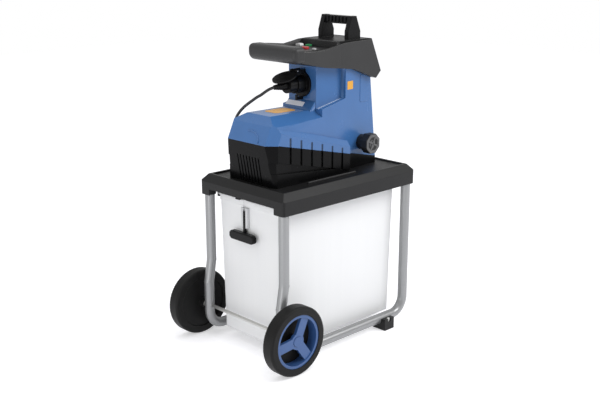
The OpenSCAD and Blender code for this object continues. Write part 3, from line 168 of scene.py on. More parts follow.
def alone(piece):
    """Makes the piece the only selected object, with nothing selected in its mesh."""
    bpy.ops.object.select_all(action="DESELECT")
    bpy.context.view_layer.objects.active = piece
    piece.select_set(True)
    for items in (piece.data.vertices, piece.data.edges, piece.data.polygons):
        items.foreach_set("select", [False] * len(items))


def open_with(piece, kind, picks):
    """Opens the piece in edit mode with only the picked vertices, edges or faces selected."""
    alone(piece)
    for item in picks:
        item.select = True
    bpy.context.tool_settings.mesh_select_mode = [kind == known for known in PICK_KINDS]
    bpy.ops.object.mode_set(mode="EDIT")


def close():
    bpy.ops.object.mode_set(mode="OBJECT")


print("picking tools for", ", ".join(PICK_KINDS))

# %% [markdown]
# A rule per piece picks the edges to bevel by their place, so thin rims and small slots keep their shape.
# An edge is outward when the middle of one face lies behind the plane of the other. After the bevel,
# faces that have shrunk to nothing are dissolved. Shading is smooth up to an angle, and weighted normals
# keep the large flat faces flat.

# %% Softening tools
SHARPEST, FLAT = math.radians(18), math.radians(0.5)
MERGE_GAP, SLIVER = 0.02, 0.01


def outward_edges(mesh):
    """The sharp outward edges, each with its middle in millimetres from the tray's middle."""
    beside = {}
    for face in mesh.polygons:
        for key in face.edge_keys:
            beside.setdefault(key, []).append(face)
    for edge in mesh.edges:
        faces = beside.get(tuple(sorted(edge.vertices)), [])
        if len(faces) != 2:
            continue
        outward = (faces[1].center - faces[0].center).dot(faces[0].normal) < 0
        if outward and faces[0].normal.angle(faces[1].normal, 0.0) > SHARPEST:
            ends = [mesh.vertices[v].co for v in edge.vertices]
            yield edge, ((ends[0] + ends[1]) / 2 - at(0, 0, 0)) / MM


def bevel_where(piece, rule, width, steps, links=False):
    """Bevels the outward edges that the rule picks, and with links those that join two of their ends."""
    picked = [edge for edge, middle in outward_edges(piece.data) if rule(*middle)]
    if links:
        ends = {spot for edge in picked for spot in edge.vertices}
        picked = [edge for edge in piece.data.edges if ends.issuperset(edge.vertices)]
    open_with(piece, "EDGE", picked)
    bpy.ops.mesh.bevel(offset=width * MM, segments=steps, affect="EDGES", clamp_overlap=True)
    bpy.ops.mesh.select_all(action="SELECT")
    bpy.ops.mesh.dissolve_degenerate(threshold=SLIVER * MM)
    close()
    return len(picked)


def softened(node, name, body):
    """A merged and tidied copy of a CAD node's mesh, which stands for that node."""
    piece = bpy.data.objects.new(name, bpy.data.objects[node].data.copy())
    bpy.context.scene.collection.objects.link(piece)
    open_with(piece, "VERT", piece.data.vertices)
    bpy.ops.mesh.remove_doubles(threshold=MERGE_GAP * MM)
    bpy.ops.mesh.dissolve_limited(angle_limit=FLAT)
    close()
    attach(piece, body)
    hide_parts(node)
    return piece


def smooth_shade(piece, angle=35.0):
    """Smooth shading that keeps edges past the angle sharp and large faces flat."""
    alone(piece)
    bpy.ops.object.shade_smooth_by_angle(angle=math.radians(angle))
    bpy.ops.object.modifier_add(type="WEIGHTED_NORMAL")
    weighted = piece.modifiers[-1]
    weighted.keep_sharp = True
    bpy.ops.object.modifier_apply(modifier=weighted.name)
    print(piece.name, "faces", len(piece.data.polygons))


print("edges sharper than", round(math.degrees(SHARPEST)), "degrees are softened")

# %% [markdown]
# ## Hopper
# The hopper is one thick moulding that ends in a fat, rounded roll. The rim along its sides is only a few
# millimetres thick and gets a small radius, also where short edges join its long ones, so that its
# corners close cleanly. The roll is better made on its own, so the copy is cut off behind its lip here,
# and the cut is filled.

# %% Hopper
LIP_CUT = -122.0
RIM_FROM_Y, RIM_FROM_X = 73.0, 168.0


def on_hopper_rim(x, y, z):
    return x > LIP_CUT + 6 and (abs(y) > RIM_FROM_Y or x > RIM_FROM_X)


hopper_shell = softened("hopper", "hopper_shell", "machine")
open_with(hopper_shell, "VERT", hopper_shell.data.vertices)
bpy.ops.mesh.bisect(plane_co=at(LIP_CUT, 0, 0), plane_no=(-1, 0, 0), use_fill=True, clear_outer=True)
close()
print("rim edges", bevel_where(hopper_shell, on_hopper_rim, 3.0, 3, links=True))
smooth_shade(hopper_shell)

# %% [markdown]
# Most new pieces start as a bar: a cube added at its size and place, whose edges may be rounded at once.
# Its place is then moved into its mesh, because a finished piece sits at the origin like the CAD's own
# pieces.

# %% Bar tools


def block(place, size, turn=(0.0, 0.0, 0.0), rounding=0.0, steps=2):
    """A bar with its sizes and rounding in millimetres."""
    bpy.ops.object.select_all(action="DESELECT")
    bpy.ops.mesh.primitive_cube_add(
        size=1.0, location=at(*place), rotation=turn, scale=[length * MM for length in size])
    piece = bpy.context.object
    bpy.ops.object.transform_apply(location=False, rotation=False, scale=True)
    if rounding:
        open_with(piece, "EDGE", piece.data.edges)
        bpy.ops.mesh.bevel(offset=rounding * MM, segments=steps, affect="EDGES")
        close()
    return piece


def settle(piece, name, body):
    """Moves the piece's place and size into its mesh, names it and puts it on its body."""
    alone(piece)
    bpy.ops.object.transform_apply(location=True, rotation=True, scale=True)
    piece.name = piece.data.name = name
    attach(piece, body)
    return piece


print("bar tools ready, with the tray's middle at", tuple(at(0, 0, 0)))

# %% [markdown]
# A bar takes the place of the lip that was cut off. It gets a wide bevel below its nose, a smaller one
# above it, and then both ends are rounded all the way round the new profile.

# %% Hopper lip
LIP_BACK, LIP_NOSE, LIP_HALF, LIP_LOW, LIP_TOP = -112.5, -148.0, 94.0, 797.0, 842.0
lip_bar = block(((LIP_BACK + LIP_NOSE) / 2, 0, (LIP_LOW + LIP_TOP) / 2),
                (LIP_BACK - LIP_NOSE, 2 * LIP_HALF, LIP_TOP - LIP_LOW))
hopper_lip = settle(lip_bar, "hopper_lip", "machine")
bevel_where(hopper_lip, lambda x, y, z: x < LIP_NOSE + 1 and z < LIP_LOW + 1, 21.0, 6)
bevel_where(hopper_lip, lambda x, y, z: x < LIP_NOSE + 1 and z > LIP_TOP - 1, 14.0, 5)
print("lip end edges", bevel_where(
    hopper_lip, lambda x, y, z: abs(y) > LIP_HALF - 1 and x < LIP_BACK - 1, 12.0, 5))
smooth_shade(hopper_lip, 50.0)

# %% [markdown]
# ## Upper housing
# The upper housing is a thin shell. A bevel on all its edges would eat the seam and the slots, so only
# its outside is rounded: not the seam, the rib panel, the mouth under the hopper, or the holes for the
# inlet and the screw.

# %% Upper housing
HOUSING_HALF_X = 208.0
SEAM_Z, SEAM_FALL, SEAM_KNEE = 594.0, 95.0, -HOUSING_HALF_X
SEAM_SLOPE = SEAM_FALL / (2 * HOUSING_HALF_X)
INLET_X, INLET_Z, INLET_HOLE = -30.0, 729.0, 26.0
SCREW_X, SCREW_Z, SCREW_HOLE = 140.0, 552.0, 8.0
MOUTH_FROM_Z, MOUTH_HALF, RIB_PANEL_Y = 770.0, 60.0, 96.0


def seam_height(x):
    return SEAM_Z - max(0.0, x - SEAM_KNEE) * SEAM_SLOPE


def housing_outside(x, y, z):
    at_inlet = abs(x - INLET_X) < 4 and math.hypot(y, z - INLET_Z) < INLET_HOLE
    at_screw = math.hypot(x - SCREW_X, z - SCREW_Z) < SCREW_HOLE
    in_mouth = z > MOUTH_FROM_Z and abs(y) < MOUTH_HALF
    return z - seam_height(x) > 2 and abs(y) < RIB_PANEL_Y and not (at_inlet or at_screw or in_mouth)


upper_shell = softened("upper_housing", "upper_shell", "machine")
print("housing edges", bevel_where(upper_shell, housing_outside, 3.0, 3))
smooth_shade(upper_shell)

# %% [markdown]
# ## Tray, lock and pusher
# These get the same treatment with smaller radii. On the tray the rim is rounded and the deck and runners
# are not. On the lock only the front of its cross bar is, because the back slides close to its channel,
# and on the pusher only the handle that stands out of the hopper.

# %% Tray, lock and pusher
TRAY_HALF_X, TRAY_HALF_Y, RIM_WIDE, RIM_FROM_Z = 261.0, 170.0, 20.0, 455.0
LOCK_FRONT_X, LOCK_BAR_TOP = -236.0, 352.0
HANDLE_FROM_Z = 848.0


def on_tray_rim(x, y, z):
    return z > RIM_FROM_Z and (abs(x) > TRAY_HALF_X - RIM_WIDE or abs(y) > TRAY_HALF_Y - RIM_WIDE)


tray_shell = softened("top_tray", "tray_shell", "machine")
print("tray edges", bevel_where(tray_shell, on_tray_rim, 2.5, 3))
smooth_shade(tray_shell)
lock_shell = softened("lock_slider", "lock_shell", "lock")
print("lock edges", bevel_where(lock_shell, lambda x, y, z: x < LOCK_FRONT_X and z < LOCK_BAR_TOP, 3.5, 3))
smooth_shade(lock_shell)
pusher_shell = softened("pusher", "pusher_shell", "pusher")
print("handle edges", bevel_where(pusher_shell, lambda x, y, z: z > HANDLE_FROM_Z, 2.0, 2))
smooth_shade(pusher_shell)

# %% [markdown]
# ## Small moulded and stuck-on details
# These are too fine for the CAD. What repeats is modelled once, and each twin of it gets a mesh of its
# own, so that the twins can be joined into one piece.

# %% Twin tools


def twin(piece, shift=(0.0, 0.0, 0.0), turn=(0.0, 0.0, 0.0)):
    """A copy with its own mesh, shifted by millimetres and turned about its own middle."""
    other = piece.copy()
    other.data = piece.data.copy()
    other.location = piece.location + Vector(shift) * MM
    other.rotation_euler = [angle + more for angle, more in zip(piece.rotation_euler, turn)]
    bpy.context.scene.collection.objects.link(other)
    return other


def joined(pieces):
    alone(pieces[0])
    for piece in pieces[1:]:
        piece.select_set(True)
    bpy.ops.object.join()
    return bpy.context.object


QUARTER_TURN = math.radians(90)
print("twin tools ready")

# %% [markdown]
# The bar of the pusher's handle has a row of short ribs for the fingers. They could be cut into the bar,
# but a rounded block that is half sunk in its face and repeated across it gives the same look with clean
# faces.

# %% Grip ribs
RIB_N, RIB_PITCH = 6, 13.5
BAR_FACE_X, BAR_MID_Z = 104.0, 897.0
rib = block((BAR_FACE_X, -(RIB_N - 1) / 2 * RIB_PITCH, BAR_MID_Z), (6.0, 6.5, 16.0), rounding=1.8)
ribs = [rib] + [twin(rib, (0, i * RIB_PITCH, 0)) for i in range(1, RIB_N)]
grip_ribs = settle(joined(ribs), "grip_ribs", "pusher")
smooth_shade(grip_ribs, 50.0)

# %% [markdown]
# The stickers are thin plates that lie on the housing: one on the flat top of the motor cover, one on the
# leaning side of the tower and one on the sloped ledge under the inlet. They stay blank. Each is a flat
# bar with only its four upright edges rounded, so its faces stay flat and its corners turn round.

# %% Stickers
SIDE_REAR_Y, SIDE_TAPER = 62.0, 30.0
SIDE_TURN = math.atan(SIDE_TAPER / (2 * HOUSING_HALF_X))
LEDGE_TURN = math.atan2(21.0, 19.0)
FILM = 0.6


def plate(place, size, turn, corner):
    """A thin plate, drawn flat in its own X and Y, whose four upright edges are rounded."""
    piece = block(place, size, turn)
    spots = piece.data.vertices

    def upright(edge):
        run = spots[edge.vertices[0]].co - spots[edge.vertices[1]].co
        return abs(run.z) > 0.9 * run.length

    open_with(piece, "EDGE", [edge for edge in piece.data.edges if upright(edge)])
    bpy.ops.mesh.bevel(offset=corner * MM, segments=6, affect="EDGES")
    close()
    return piece


def tower_side(x):
    return -(SIDE_REAR_Y + (HOUSING_HALF_X - x) * math.tan(SIDE_TURN))


FILMS = {
    "cover_sticker": plate((-110, 4, 663.1), (78.0, 54.0, FILM), (0.0, 0.0, 0.0), 14.0),
    "tower_sticker": plate(
        (88, tower_side(88) - 0.1, 720), (24.0, 23.0, FILM), (QUARTER_TURN, 0.0, SIDE_TURN), 1.5),
    "inlet_strip": plate((-40.6, 17, 674.6), (15.0, 68.0, FILM), (0.0, -LEDGE_TURN, 0.0), 1.5)}
for name, film in FILMS.items():
    settle(film, name, "machine")
print("stickers:", ", ".join(FILMS))

# %% [markdown]
# Two raised shapes belong to the blue moulding. The first is a flat pad at the rear of the tower's side,
# which is made like the stickers, only thicker.

# %% Side pad
side_pad = settle(
    plate((152, tower_side(152) - 0.2, 706), (40.0, 78.0, 1.6), (QUARTER_TURN, 0.0, SIDE_TURN), 6.0),
    "side_pad", "machine")
print("side pad faces", len(side_pad.data.polygons))

# %% [markdown]
# The second is a bent crease on the wheel end of the cover. A swept curve would do, but a thin ring that
# is half sunk in the leaning face is quicker: the part of it that isn't needed is deleted, and its two
# ends are filled.

# %% Cover crease
CREASE_X, CREASE_Y, CREASE_Z = -240.8, -8.0, 588.0
CREASE_R, CREASE_HALF, CREASE_FROM_Z, CREASE_TO_Y = 40.5, 2.2, 10.0, 14.0
FACE_LEAN = math.atan2(22.0, 48.0)
bpy.ops.object.select_all(action="DESELECT")
bpy.ops.mesh.primitive_torus_add(
    major_radius=CREASE_R * MM, minor_radius=CREASE_HALF * MM, major_segments=64, minor_segments=10,
    location=at(CREASE_X, CREASE_Y, CREASE_Z), rotation=(0.0, QUARTER_TURN + FACE_LEAN, 0.0))
crease = settle(bpy.context.object, "cover_crease", "machine")
middle = at(CREASE_X, CREASE_Y, CREASE_Z)
surplus = [spot for spot in crease.data.vertices
           if spot.co.z - middle.z < CREASE_FROM_Z * MM or spot.co.y - middle.y > CREASE_TO_Y * MM]
open_with(crease, "VERT", surplus)
bpy.ops.mesh.delete(type="VERT")
bpy.ops.mesh.select_all(action="SELECT")
bpy.ops.mesh.fill_holes(sides=0)
close()
smooth_shade(crease, 50.0)

# %% [markdown]
# ## Knob face
# The adjusting knob is an eight-sided cap, and its outer face has a paler rim round a shallow recess. An
# eight-sided cylinder is the start. Its outer face is picked by its normal, inset by the rim's width and
# pushed back, so the rim and the recess stay one closed piece.

# %% Knob rim
KNOB_FACE_Y, KNOB_R, CAP_THICK = -113.1, 28.5, 3.0
KNOB_RIM, KNOB_RECESS = 7.5, 2.2
bpy.ops.object.select_all(action="DESELECT")
bpy.ops.mesh.primitive_cylinder_add(
    vertices=8, radius=KNOB_R * MM, depth=CAP_THICK * MM, end_fill_type="NGON",
    location=at(SCREW_X, KNOB_FACE_Y, SCREW_Z), rotation=(QUARTER_TURN, math.radians(22.5), 0.0))
knob_ring = settle(bpy.context.object, "knob_ring", "knob")
open_with(knob_ring, "FACE", [face for face in knob_ring.data.polygons if face.normal.y < -0.9])
bpy.ops.mesh.inset(thickness=KNOB_RIM * MM)
bpy.ops.mesh.extrude_region_move(TRANSFORM_OT_translate={"value": (0, KNOB_RECESS * MM, 0)})
close()
print("knob ring faces", len(knob_ring.data.polygons))

# %% [markdown]
# Ribs cross the recess for the fingers to turn. One rounded bar and its twin, turned by a right angle,
# make a plain cross whose ends are sunk in the rim.

# %% Knob grip
GRIP_TURN = math.radians(25)
grip_bar = block((SCREW_X, KNOB_FACE_Y - 0.4, SCREW_Z), (39.0, 3.0, 6.0), (0.0, GRIP_TURN, 0.0), 1.0)
cross = joined([grip_bar, twin(grip_bar, turn=(0.0, QUARTER_TURN, 0.0))])
knob_grip = settle(cross, "knob_grip", "knob")
smooth_shade(knob_grip, 50.0)

# %% [markdown]
# ## Details of the deck
# The tray's deck has a few short slots near its front corner. They go down into the dark, so from a step
# away only their outline shows, and a dark, barely raised plate with fine edges stands for each one as
# painted shade.

# %% Tray slots
DECK_Z = 480.0
# painted shade: dark plates stand for the slots' dark insides
slot = block((222, -108, DECK_Z + 0.1), (22.0, 6.0, 0.5), rounding=0.1)
slots = [slot, twin(slot, (-15, -31, 0)), twin(slot, (14, 48, 0), (0.0, 0.0, QUARTER_TURN))]
tray_slots = settle(joined(slots), "tray_slots", "machine")
print("tray slots:", len(slots))

# %% [markdown]
# A low, straight rib stands on the deck along each side of the motor unit and keeps the chips off the
# rim. One bar with rounded edges is copied to the other side.

# %% Deck ribs
DECK_RIB_Y = 113.5
deck_bar = block((-25, -DECK_RIB_Y, DECK_Z + 2.4), (186.0, 5.0, 5.6), rounding=1.6, steps=3)
deck_bars = joined([deck_bar, twin(deck_bar, (0, 2 * DECK_RIB_Y, 0))])
deck_ribs = settle(deck_bars, "deck_ribs", "machine")
smooth_shade(deck_ribs, 50.0)

# %% [markdown]
# The side slots of the black housing are open. A dark screen close behind them is painted shade: it
# stands for the dark inside, so no light shows through the machine. Each screen is a thin plate that leans
# with the seam and has room to the gears and to the wall.

# %% Slot screens
SCREEN_X, SCREEN_Y, SCREEN_DROP = -75.0, 79.5, 33.0
# painted shade: dark plates behind the open slots stand for the dark inside the housing
screen = block((SCREEN_X, -SCREEN_Y, seam_height(SCREEN_X) - SCREEN_DROP), (256.0, 1.6, 62.0),
               (0.0, math.atan(SEAM_SLOPE), 0.0), rounding=0.4)
screens = joined([screen, twin(screen, (0, 2 * SCREEN_Y, 0))])
slot_screens = settle(screens, "slot_screens", "machine")
print("screen middles lie", SCREEN_DROP, "mm below the seam")

# %% [markdown]
# ## A small language for finishes
# Shader trees are easier to read as sums than as boxes and wires. `Field` wraps one output socket, so
# that ordinary operators add Math nodes. `Finish` holds the node tree of one material, or of the world,
# and adds any other node by its type.

# %% Field


class Field:
    def __init__(self, finish, socket):
        self.finish, self.socket = finish, socket

    def out(self, key):
        """Another output of the same node."""
        return Field(self.finish, self.socket.node.outputs[key])

    def math(self, operation, other, swap=False):
        pair = (other, self) if swap else (self, other)
        return self.finish.add("ShaderNodeMath", {"operation": operation}, {0: pair[0], 1: pair[1]})

    def __add__(self, other):
        return self.math("ADD", other)

    def __radd__(self, other):
        return self.math("ADD", other, True)

    def __sub__(self, other):
        return self.math("SUBTRACT", other)

    def __rsub__(self, other):
        return self.math("SUBTRACT", other, True)

    def __mul__(self, other):
        return self.math("MULTIPLY", other)

    def __rmul__(self, other):
        return self.math("MULTIPLY", other, True)

    def __pow__(self, other):
        return self.math("POWER", other)

    def __lt__(self, other):
        return self.math("LESS_THAN", other)

    def __gt__(self, other):
        return self.math("GREATER_THAN", other)


print("sums of fields ready")

# %% Finish


class Finish:
    def __init__(self, name, world=None):
        self.owner = world or bpy.data.materials.new(name)
        self.owner.use_nodes = True
        self.tree = self.owner.node_tree
        self.tree.nodes.clear()
        self.output = self.tree.nodes.new("ShaderNodeOutputWorld" if world else "ShaderNodeOutputMaterial")

    def add(self, kind, settings=None, sockets=None):
        """A new node with its settings and then its sockets set or linked; returns its first output."""
        node = self.tree.nodes.new(kind)
        for key, value in (settings or {}).items():
            setattr(node, key, value)
        for key, value in (sockets or {}).items():
            if isinstance(value, Field):
                self.tree.links.new(value.socket, node.inputs[key])
            else:
                node.inputs[key].default_value = value
        return Field(self, node.outputs[0])

    def place(self):
        return self.add("ShaderNodeTexCoord").out("Object")

    def axes(self):
        parts = self.add("ShaderNodeSeparateXYZ", None, {0: self.place()})
        return [parts.out(key) for key in "XYZ"]

    def stretched(self, along_x, along_y, along_z):
        """Noise that runs at its own scale along each axis."""
        x, y, z = self.axes()
        spread = self.add("ShaderNodeCombineXYZ", None, {0: x * along_x, 1: y * along_y, 2: z * along_z})
        return self.noise(1.0, 2.0, spread)

    def noise(self, scale, detail=2.0, place=None):
        return self.add("ShaderNodeTexNoise", {"noise_dimensions": "3D"},
                        {"Vector": place or self.place(), "Scale": scale, "Detail": detail})

    def mix(self, share, first, second):
        return self.add("ShaderNodeMix", {"data_type": "RGBA"}, {0: share, 6: first, 7: second}).out(2)

    def relief(self, height, strength, depth, edge):
        sockets = {"Strength": strength, "Distance": depth, "Height": height}
        if edge > 0:
            sockets["Normal"] = self.add("ShaderNodeBevel", {"samples": 6}, {"Radius": edge})
        return self.add("ShaderNodeBump", None, sockets)

    def show(self, shader):
        self.tree.links.new(shader.socket, self.output.inputs[0])
        return self

    def surface(self, **values):
        named = {key.replace("_", " "): value for key, value in values.items()}
        return self.show(self.add("ShaderNodeBsdfPrincipled", None, named))


def rgb(r, g, b):
    return (r, g, b, 1.0)


print("finish tools ready")

# %% [markdown]
# ## Moulded plastics
# Most of the machine is injection moulded. Such a skin has a very fine grain, a faint unevenness of
# gloss, and edges that are never razor sharp. A Bevel node rounds the shading of the edges, noise gives
# the grain, and a second, much coarser noise shifts colour and gloss a little.

# %% Plastics


def moulded(name, colour, rough, grain=0.25, edge=0.0022, grain_scale=1400.0, cloud=0.10, **more):
    finish = Finish(name)
    broad = finish.noise(16.0, 3.0)
    fine = finish.noise(grain_scale, 1.0)
    darker = tuple(c * (1 - cloud) for c in colour)
    lighter = tuple(min(1.0, c * (1 + cloud)) for c in colour)
    return finish.surface(
        Base_Color=finish.mix(broad, rgb(*darker), rgb(*lighter)),
        Roughness=rough - 0.05 + broad * 0.10,
        Normal=finish.relief(fine, grain, 0.0003, edge), **more)


HOUSING = moulded("housing_moulding", (0.003, 0.003, 0.0033), 0.28, grain=0.18, edge=0.0015,
                  Specular_IOR_Level=0.09)
BLACK = moulded("black_moulding", (0.0045, 0.0045, 0.005), 0.36, grain=0.30, Specular_IOR_Level=0.16)
TYRE = moulded("tyre_moulding", (0.007, 0.007, 0.007), 0.5, grain=0.40, Specular_IOR_Level=0.18)
TRAY = moulded("tray_moulding", (0.008, 0.008, 0.0085), 0.42, grain=0.45, edge=0.0015, grain_scale=900.0,
               Specular_IOR_Level=0.24)
HOPPER = moulded("hopper_moulding", (0.030, 0.030, 0.031), 0.40, grain=0.35, edge=0.002,
                 Specular_IOR_Level=0.3)
GREY = moulded("grey_moulding", (0.46, 0.465, 0.47), 0.45)
CHANNEL = moulded("channel_moulding", (0.66, 0.67, 0.68), 0.4)
PALE = moulded("pale_moulding", (0.085, 0.085, 0.088), 0.34, grain=0.15, edge=0.0008)
# painted shade: a near-black finish for plates that stand for the dark inside slots
SLOT_SHADE = moulded("painted_slot_shade", (0.006, 0.006, 0.006), 0.6)
AMBER = moulded("amber_sticker", (0.72, 0.35, 0.035), 0.4, grain=0.05, edge=0.0, cloud=0.04)
PAPER = moulded("white_sticker", (0.80, 0.83, 0.92), 0.42, grain=0.05, edge=0.0, cloud=0.03)
KNOB = moulded("knob_moulding", (0.014, 0.014, 0.015), 0.42, edge=0.002, Specular_IOR_Level=0.3)
WHITE_CAP = moulded("white_moulding", (0.62, 0.62, 0.62), 0.35, grain=0.08, edge=0.001)
GREEN_CAP = moulded("green_moulding", (0.03, 0.28, 0.09), 0.3, grain=0.05, edge=0.001)
RED_CAP = moulded("red_moulding", (0.55, 0.025, 0.03), 0.3, grain=0.05, edge=0.001)
HUB = moulded("hub_moulding", (0.038, 0.098, 0.265), 0.30, grain=0.15, edge=0.0015)
RUBBER = moulded("lead_rubber", (0.016, 0.016, 0.017), 0.55, grain=0.2, edge=0.0)
print("materials so far:", len(bpy.data.materials))

# %% [markdown]
# The blue moulding is smoother and glossier than the black ones. Its colour is darkened in the grooves of
# its rib panel as painted shade, with a duller gloss there: below the sloping band, behind the wheel end,
# and just inside the panel's face.

# %% Blue skin
GROOVE_IN, GROOVE_OUT, PANEL_FROM, PANEL_TO = 0.0960, 0.0983, -0.190, 0.062
BAND_Z, BAND_X, BAND_FALL = 0.6225, -0.206, math.tan(math.radians(15.5))


def blue_skin(colour, rough):
    finish = Finish("blue_moulding")
    x, y, z = finish.axes()
    side = (y * y) ** 0.5
    along = x - TRAY_X
    # painted shade: a mask for the rib panel's grooves below the sloping band
    painted_groove_shade = (side > GROOVE_IN) * (side < GROOVE_OUT) * (along > PANEL_FROM) * (along < PANEL_TO)
    painted_groove_shade = painted_groove_shade * (z + (along - BAND_X) * BAND_FALL < BAND_Z)
    broad = finish.noise(16.0, 3.0)
    unshaded_blue = finish.mix(broad, rgb(*(c * 0.92 for c in colour)), rgb(*(c * 1.08 for c in colour)))
    return finish.surface(
        # painted shade: the blue is darkened to 30 % in the grooves and made rougher there
        Base_Color=finish.mix(painted_groove_shade, unshaded_blue, rgb(*(c * 0.30 for c in colour))),
        Roughness=rough - 0.04 + broad * 0.08 + painted_groove_shade * 0.3,
        Normal=finish.relief(finish.noise(1400.0, 1.0), 0.10, 0.0003, 0.0015))


BLUE = blue_skin((0.045, 0.140, 0.355), 0.26)
print("blue skin on", BLUE.owner.name)

# %% [markdown]
# ## The translucent box
# The box is a thin white moulding that lets a little light through. Faint upright draw marks run down its
# walls, so the colour depends on the place along the wall and hardly on the height.

# %% Box skin


def box_skin():
    finish = Finish("box_moulding")
    streaks = finish.stretched(60.0, 60.0, 1.5)
    broad = finish.noise(5.0, 2.0)
    share = streaks * 0.6 + broad * 0.4
    return finish.surface(
        Base_Color=finish.mix(share, rgb(0.83, 0.84, 0.85), rgb(0.88, 0.885, 0.89)),
        Roughness=0.34 + broad * 0.12,
        Normal=finish.relief(finish.noise(700.0, 1.0), 0.10, 0.0002, 0.003),
        Subsurface_Weight=0.15, Subsurface_Radius=(0.01, 0.01, 0.011), Subsurface_Scale=0.6)


BOX = box_skin()
print("box skin on", BOX.owner.name)

# %% [markdown]
# ## Metals
# The stand is lacquered tube: bright, but with a soft satin highlight. Inside, turned and laminated steel
# shows fine lines along one direction, which stretched noise gives.

# %% Metals


def metal(name, colour, rough, metallic=1.0, stretch=(40.0, 40.0, 40.0), depth=0.10):
    finish = Finish(name)
    lines = finish.stretched(*stretch)
    dull = tuple(c * 0.86 for c in colour)
    return finish.surface(
        Base_Color=finish.mix(lines, rgb(*dull), rgb(*colour)), Metallic=metallic,
        Roughness=rough - 0.06 + lines * 0.12,
        Normal=finish.relief(lines, depth, 0.0002, 0.0008))


LACQUER = metal("silver_lacquer", (0.32, 0.325, 0.33), 0.34, metallic=0.55, stretch=(300.0, 300.0, 300.0),
                depth=0.05)
ZINC = metal("zinc_plate", (0.60, 0.60, 0.58), 0.34, stretch=(90.0, 90.0, 90.0))
TOOL = metal("machined_steel", (0.42, 0.43, 0.45), 0.32, stretch=(1500.0, 60.0, 60.0))
CORE = metal("laminated_core", (0.30, 0.30, 0.32), 0.45, stretch=(2500.0, 20.0, 20.0), depth=0.3)
ALLOY = metal("cast_alloy", (0.58, 0.59, 0.60), 0.48, stretch=(350.0, 350.0, 350.0), depth=0.25)
BRASS = metal("contact_brass", (0.72, 0.55, 0.25), 0.28)
CAN = metal("can_lacquer", (0.05, 0.05, 0.055), 0.4, metallic=0.0, stretch=(200.0, 200.0, 200.0))
print("materials so far:", len(bpy.data.materials))

# %% [markdown]
# ## Wearing the finishes
# Each piece of the real machine is one material, so each finish has a plain list of the pieces that wear
# it. The solids that a new piece replaces are in it too, because they share the finish of what stands for
# them.

# %% Wear the finishes
WEARS = {
    TRAY: "top_tray tray_shell near_foot far_foot",
    BLACK: "control_panel lock_slider lock_shell inlet_socket inlet_lid pusher pusher_shell grip_ribs "
           "lead_plug plug_relief lead_connector lead_relief cooling_fan safety_switch coil_tie",
    HOPPER: "hopper hopper_shell hopper_lip deck_ribs",
    KNOB: "adjusting_knob",
    PALE: "knob_ring knob_grip",
    # the slot plates and the slot screens wear painted shade
    SLOT_SHADE: "tray_slots slot_screens",
    AMBER: "cover_sticker tower_sticker",
    PAPER: "inlet_strip",
    TYRE: "near_tyre far_tyre",
    HOUSING: "lower_housing",
    BLUE: "upper_housing upper_shell side_pad cover_crease",
    HUB: "near_hub far_hub axle_caps",
    LACQUER: "near_side_tube far_side_tube",
    BOX: "collection_box",
    GREY: "overload_reset",
    CHANNEL: "lock_channel",
    GREEN_CAP: "start_button",
    RED_CAP: "stop_button",
    WHITE_CAP: "direction_switch",
    ZINC: "axle wheel_washers foot_bolts socket_screws unit_bolts lid_hinge_pin adjusting_screw plug_pins "
          "idler_pin",
    TOOL: "cutting_drum drum_shaft drum_bearings pressure_plate drum_gear idler_gear motor_shaft "
          "motor_bearings",
    CORE: "stator_core rotor_core",
    ALLOY: "cutter_frame gear_case run_capacitor",
    CAN: "motor_can",
    BRASS: "inlet_pins",
    RUBBER: "lead_cord lead_coil supply_lead"}


def wear(piece, finish):
    piece.data.materials.clear()
    piece.data.materials.append(finish.owner)


for finish, names in WEARS.items():
    for name in names.split():
        wear(bpy.data.objects[name], finish)
print("finishes worn:", sum(len(names.split()) for names in WEARS.values()))

# %% [markdown]
# ## Studio
# The machine stands on a plain white floor. A real paper sweep greys towards its edges, and so would a
# plain white plane. So the floor takes the machine's soft shadow as a diffuse surface, and for the camera
# and in reflections it also glows a little, which lifts it to white.

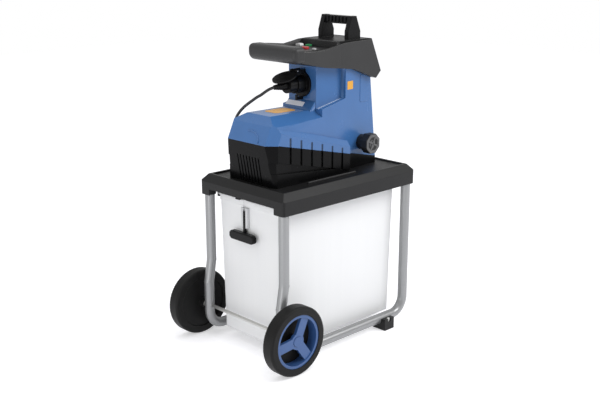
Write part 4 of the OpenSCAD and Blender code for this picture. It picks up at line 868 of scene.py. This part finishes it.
# %% Floor
bpy.ops.object.select_all(action="DESELECT")
bpy.ops.mesh.primitive_plane_add(size=14.0, location=(0, 0, 0))
floor = bpy.context.object
floor.name = "studio_floor"
WHITE = rgb(1, 1, 1)
paint = Finish("floor_paint")
rays = paint.add("ShaderNodeLightPath")
seen = rays.out("Is Camera Ray") + rays.out("Is Glossy Ray") + rays.out("Is Transmission Ray")
matt = paint.add("ShaderNodeBsdfDiffuse", None, {"Color": rgb(0.84, 0.84, 0.87)})
glow = paint.add("ShaderNodeEmission", None, {"Color": WHITE, "Strength": 0.42})
lifted = paint.add("ShaderNodeAddShader", None, {0: matt, 1: glow})
wear(floor, paint.show(paint.add("ShaderNodeMixShader", None, {0: seen, 1: matt, 2: lifted})))
print("floor is", floor.dimensions.x, "m wide")

# %% [markdown]
# Soft light comes from all round, as in a light tent. The world gives it, a little dimmer than the white
# that the camera sees behind the machine, and a Mix Shader tells the two apart by the kind of ray.

# %% World
world = bpy.data.worlds.new("studio")
bpy.context.scene.world = world
tent = Finish("studio", world)
rays = tent.add("ShaderNodeLightPath")
direct = rays.out("Is Camera Ray") + rays.out("Is Transmission Ray")
soft = tent.add("ShaderNodeBackground", None, {"Color": WHITE, "Strength": 0.72})
backdrop = tent.add("ShaderNodeBackground", None, {"Color": WHITE, "Strength": 1.0})
tent.show(tent.add("ShaderNodeMixShader", None, {0: direct, 1: soft, 2: backdrop}))
print("world:", world.name)

# %% [markdown]
# Three square lamps give the light its shape: a strong one high over the near side, a weaker one
# overhead, and a small one low before the wheel end, which lifts the box and the wheels out of their own
# shade. The Standard view keeps colours as they are set.

# %% Lamps


def lamp(name, place, aim, size, power):
    data = bpy.data.lights.new(name, "AREA")
    data.size, data.energy = size, power
    lit = bpy.data.objects.new(name, data)
    lit.location = place
    lit.rotation_euler = (Vector(aim) - Vector(place)).to_track_quat("-Z", "Y").to_euler()
    bpy.context.scene.collection.objects.link(lit)


lamp("key_lamp", (1.5, -2.2, 2.5), (0.0, 0.0, 0.6), 1.6, 57.0)
lamp("top_lamp", (-0.6, 0.2, 3.0), (0.0, 0.0, 0.5), 1.8, 18.0)
lamp("low_lamp", (-2.1, -0.5, 0.35), (-0.2, 0.0, 0.25), 0.9, 8.0)
bpy.context.scene.view_settings.view_transform = "Standard"
print("lamps:", len(bpy.data.lights))
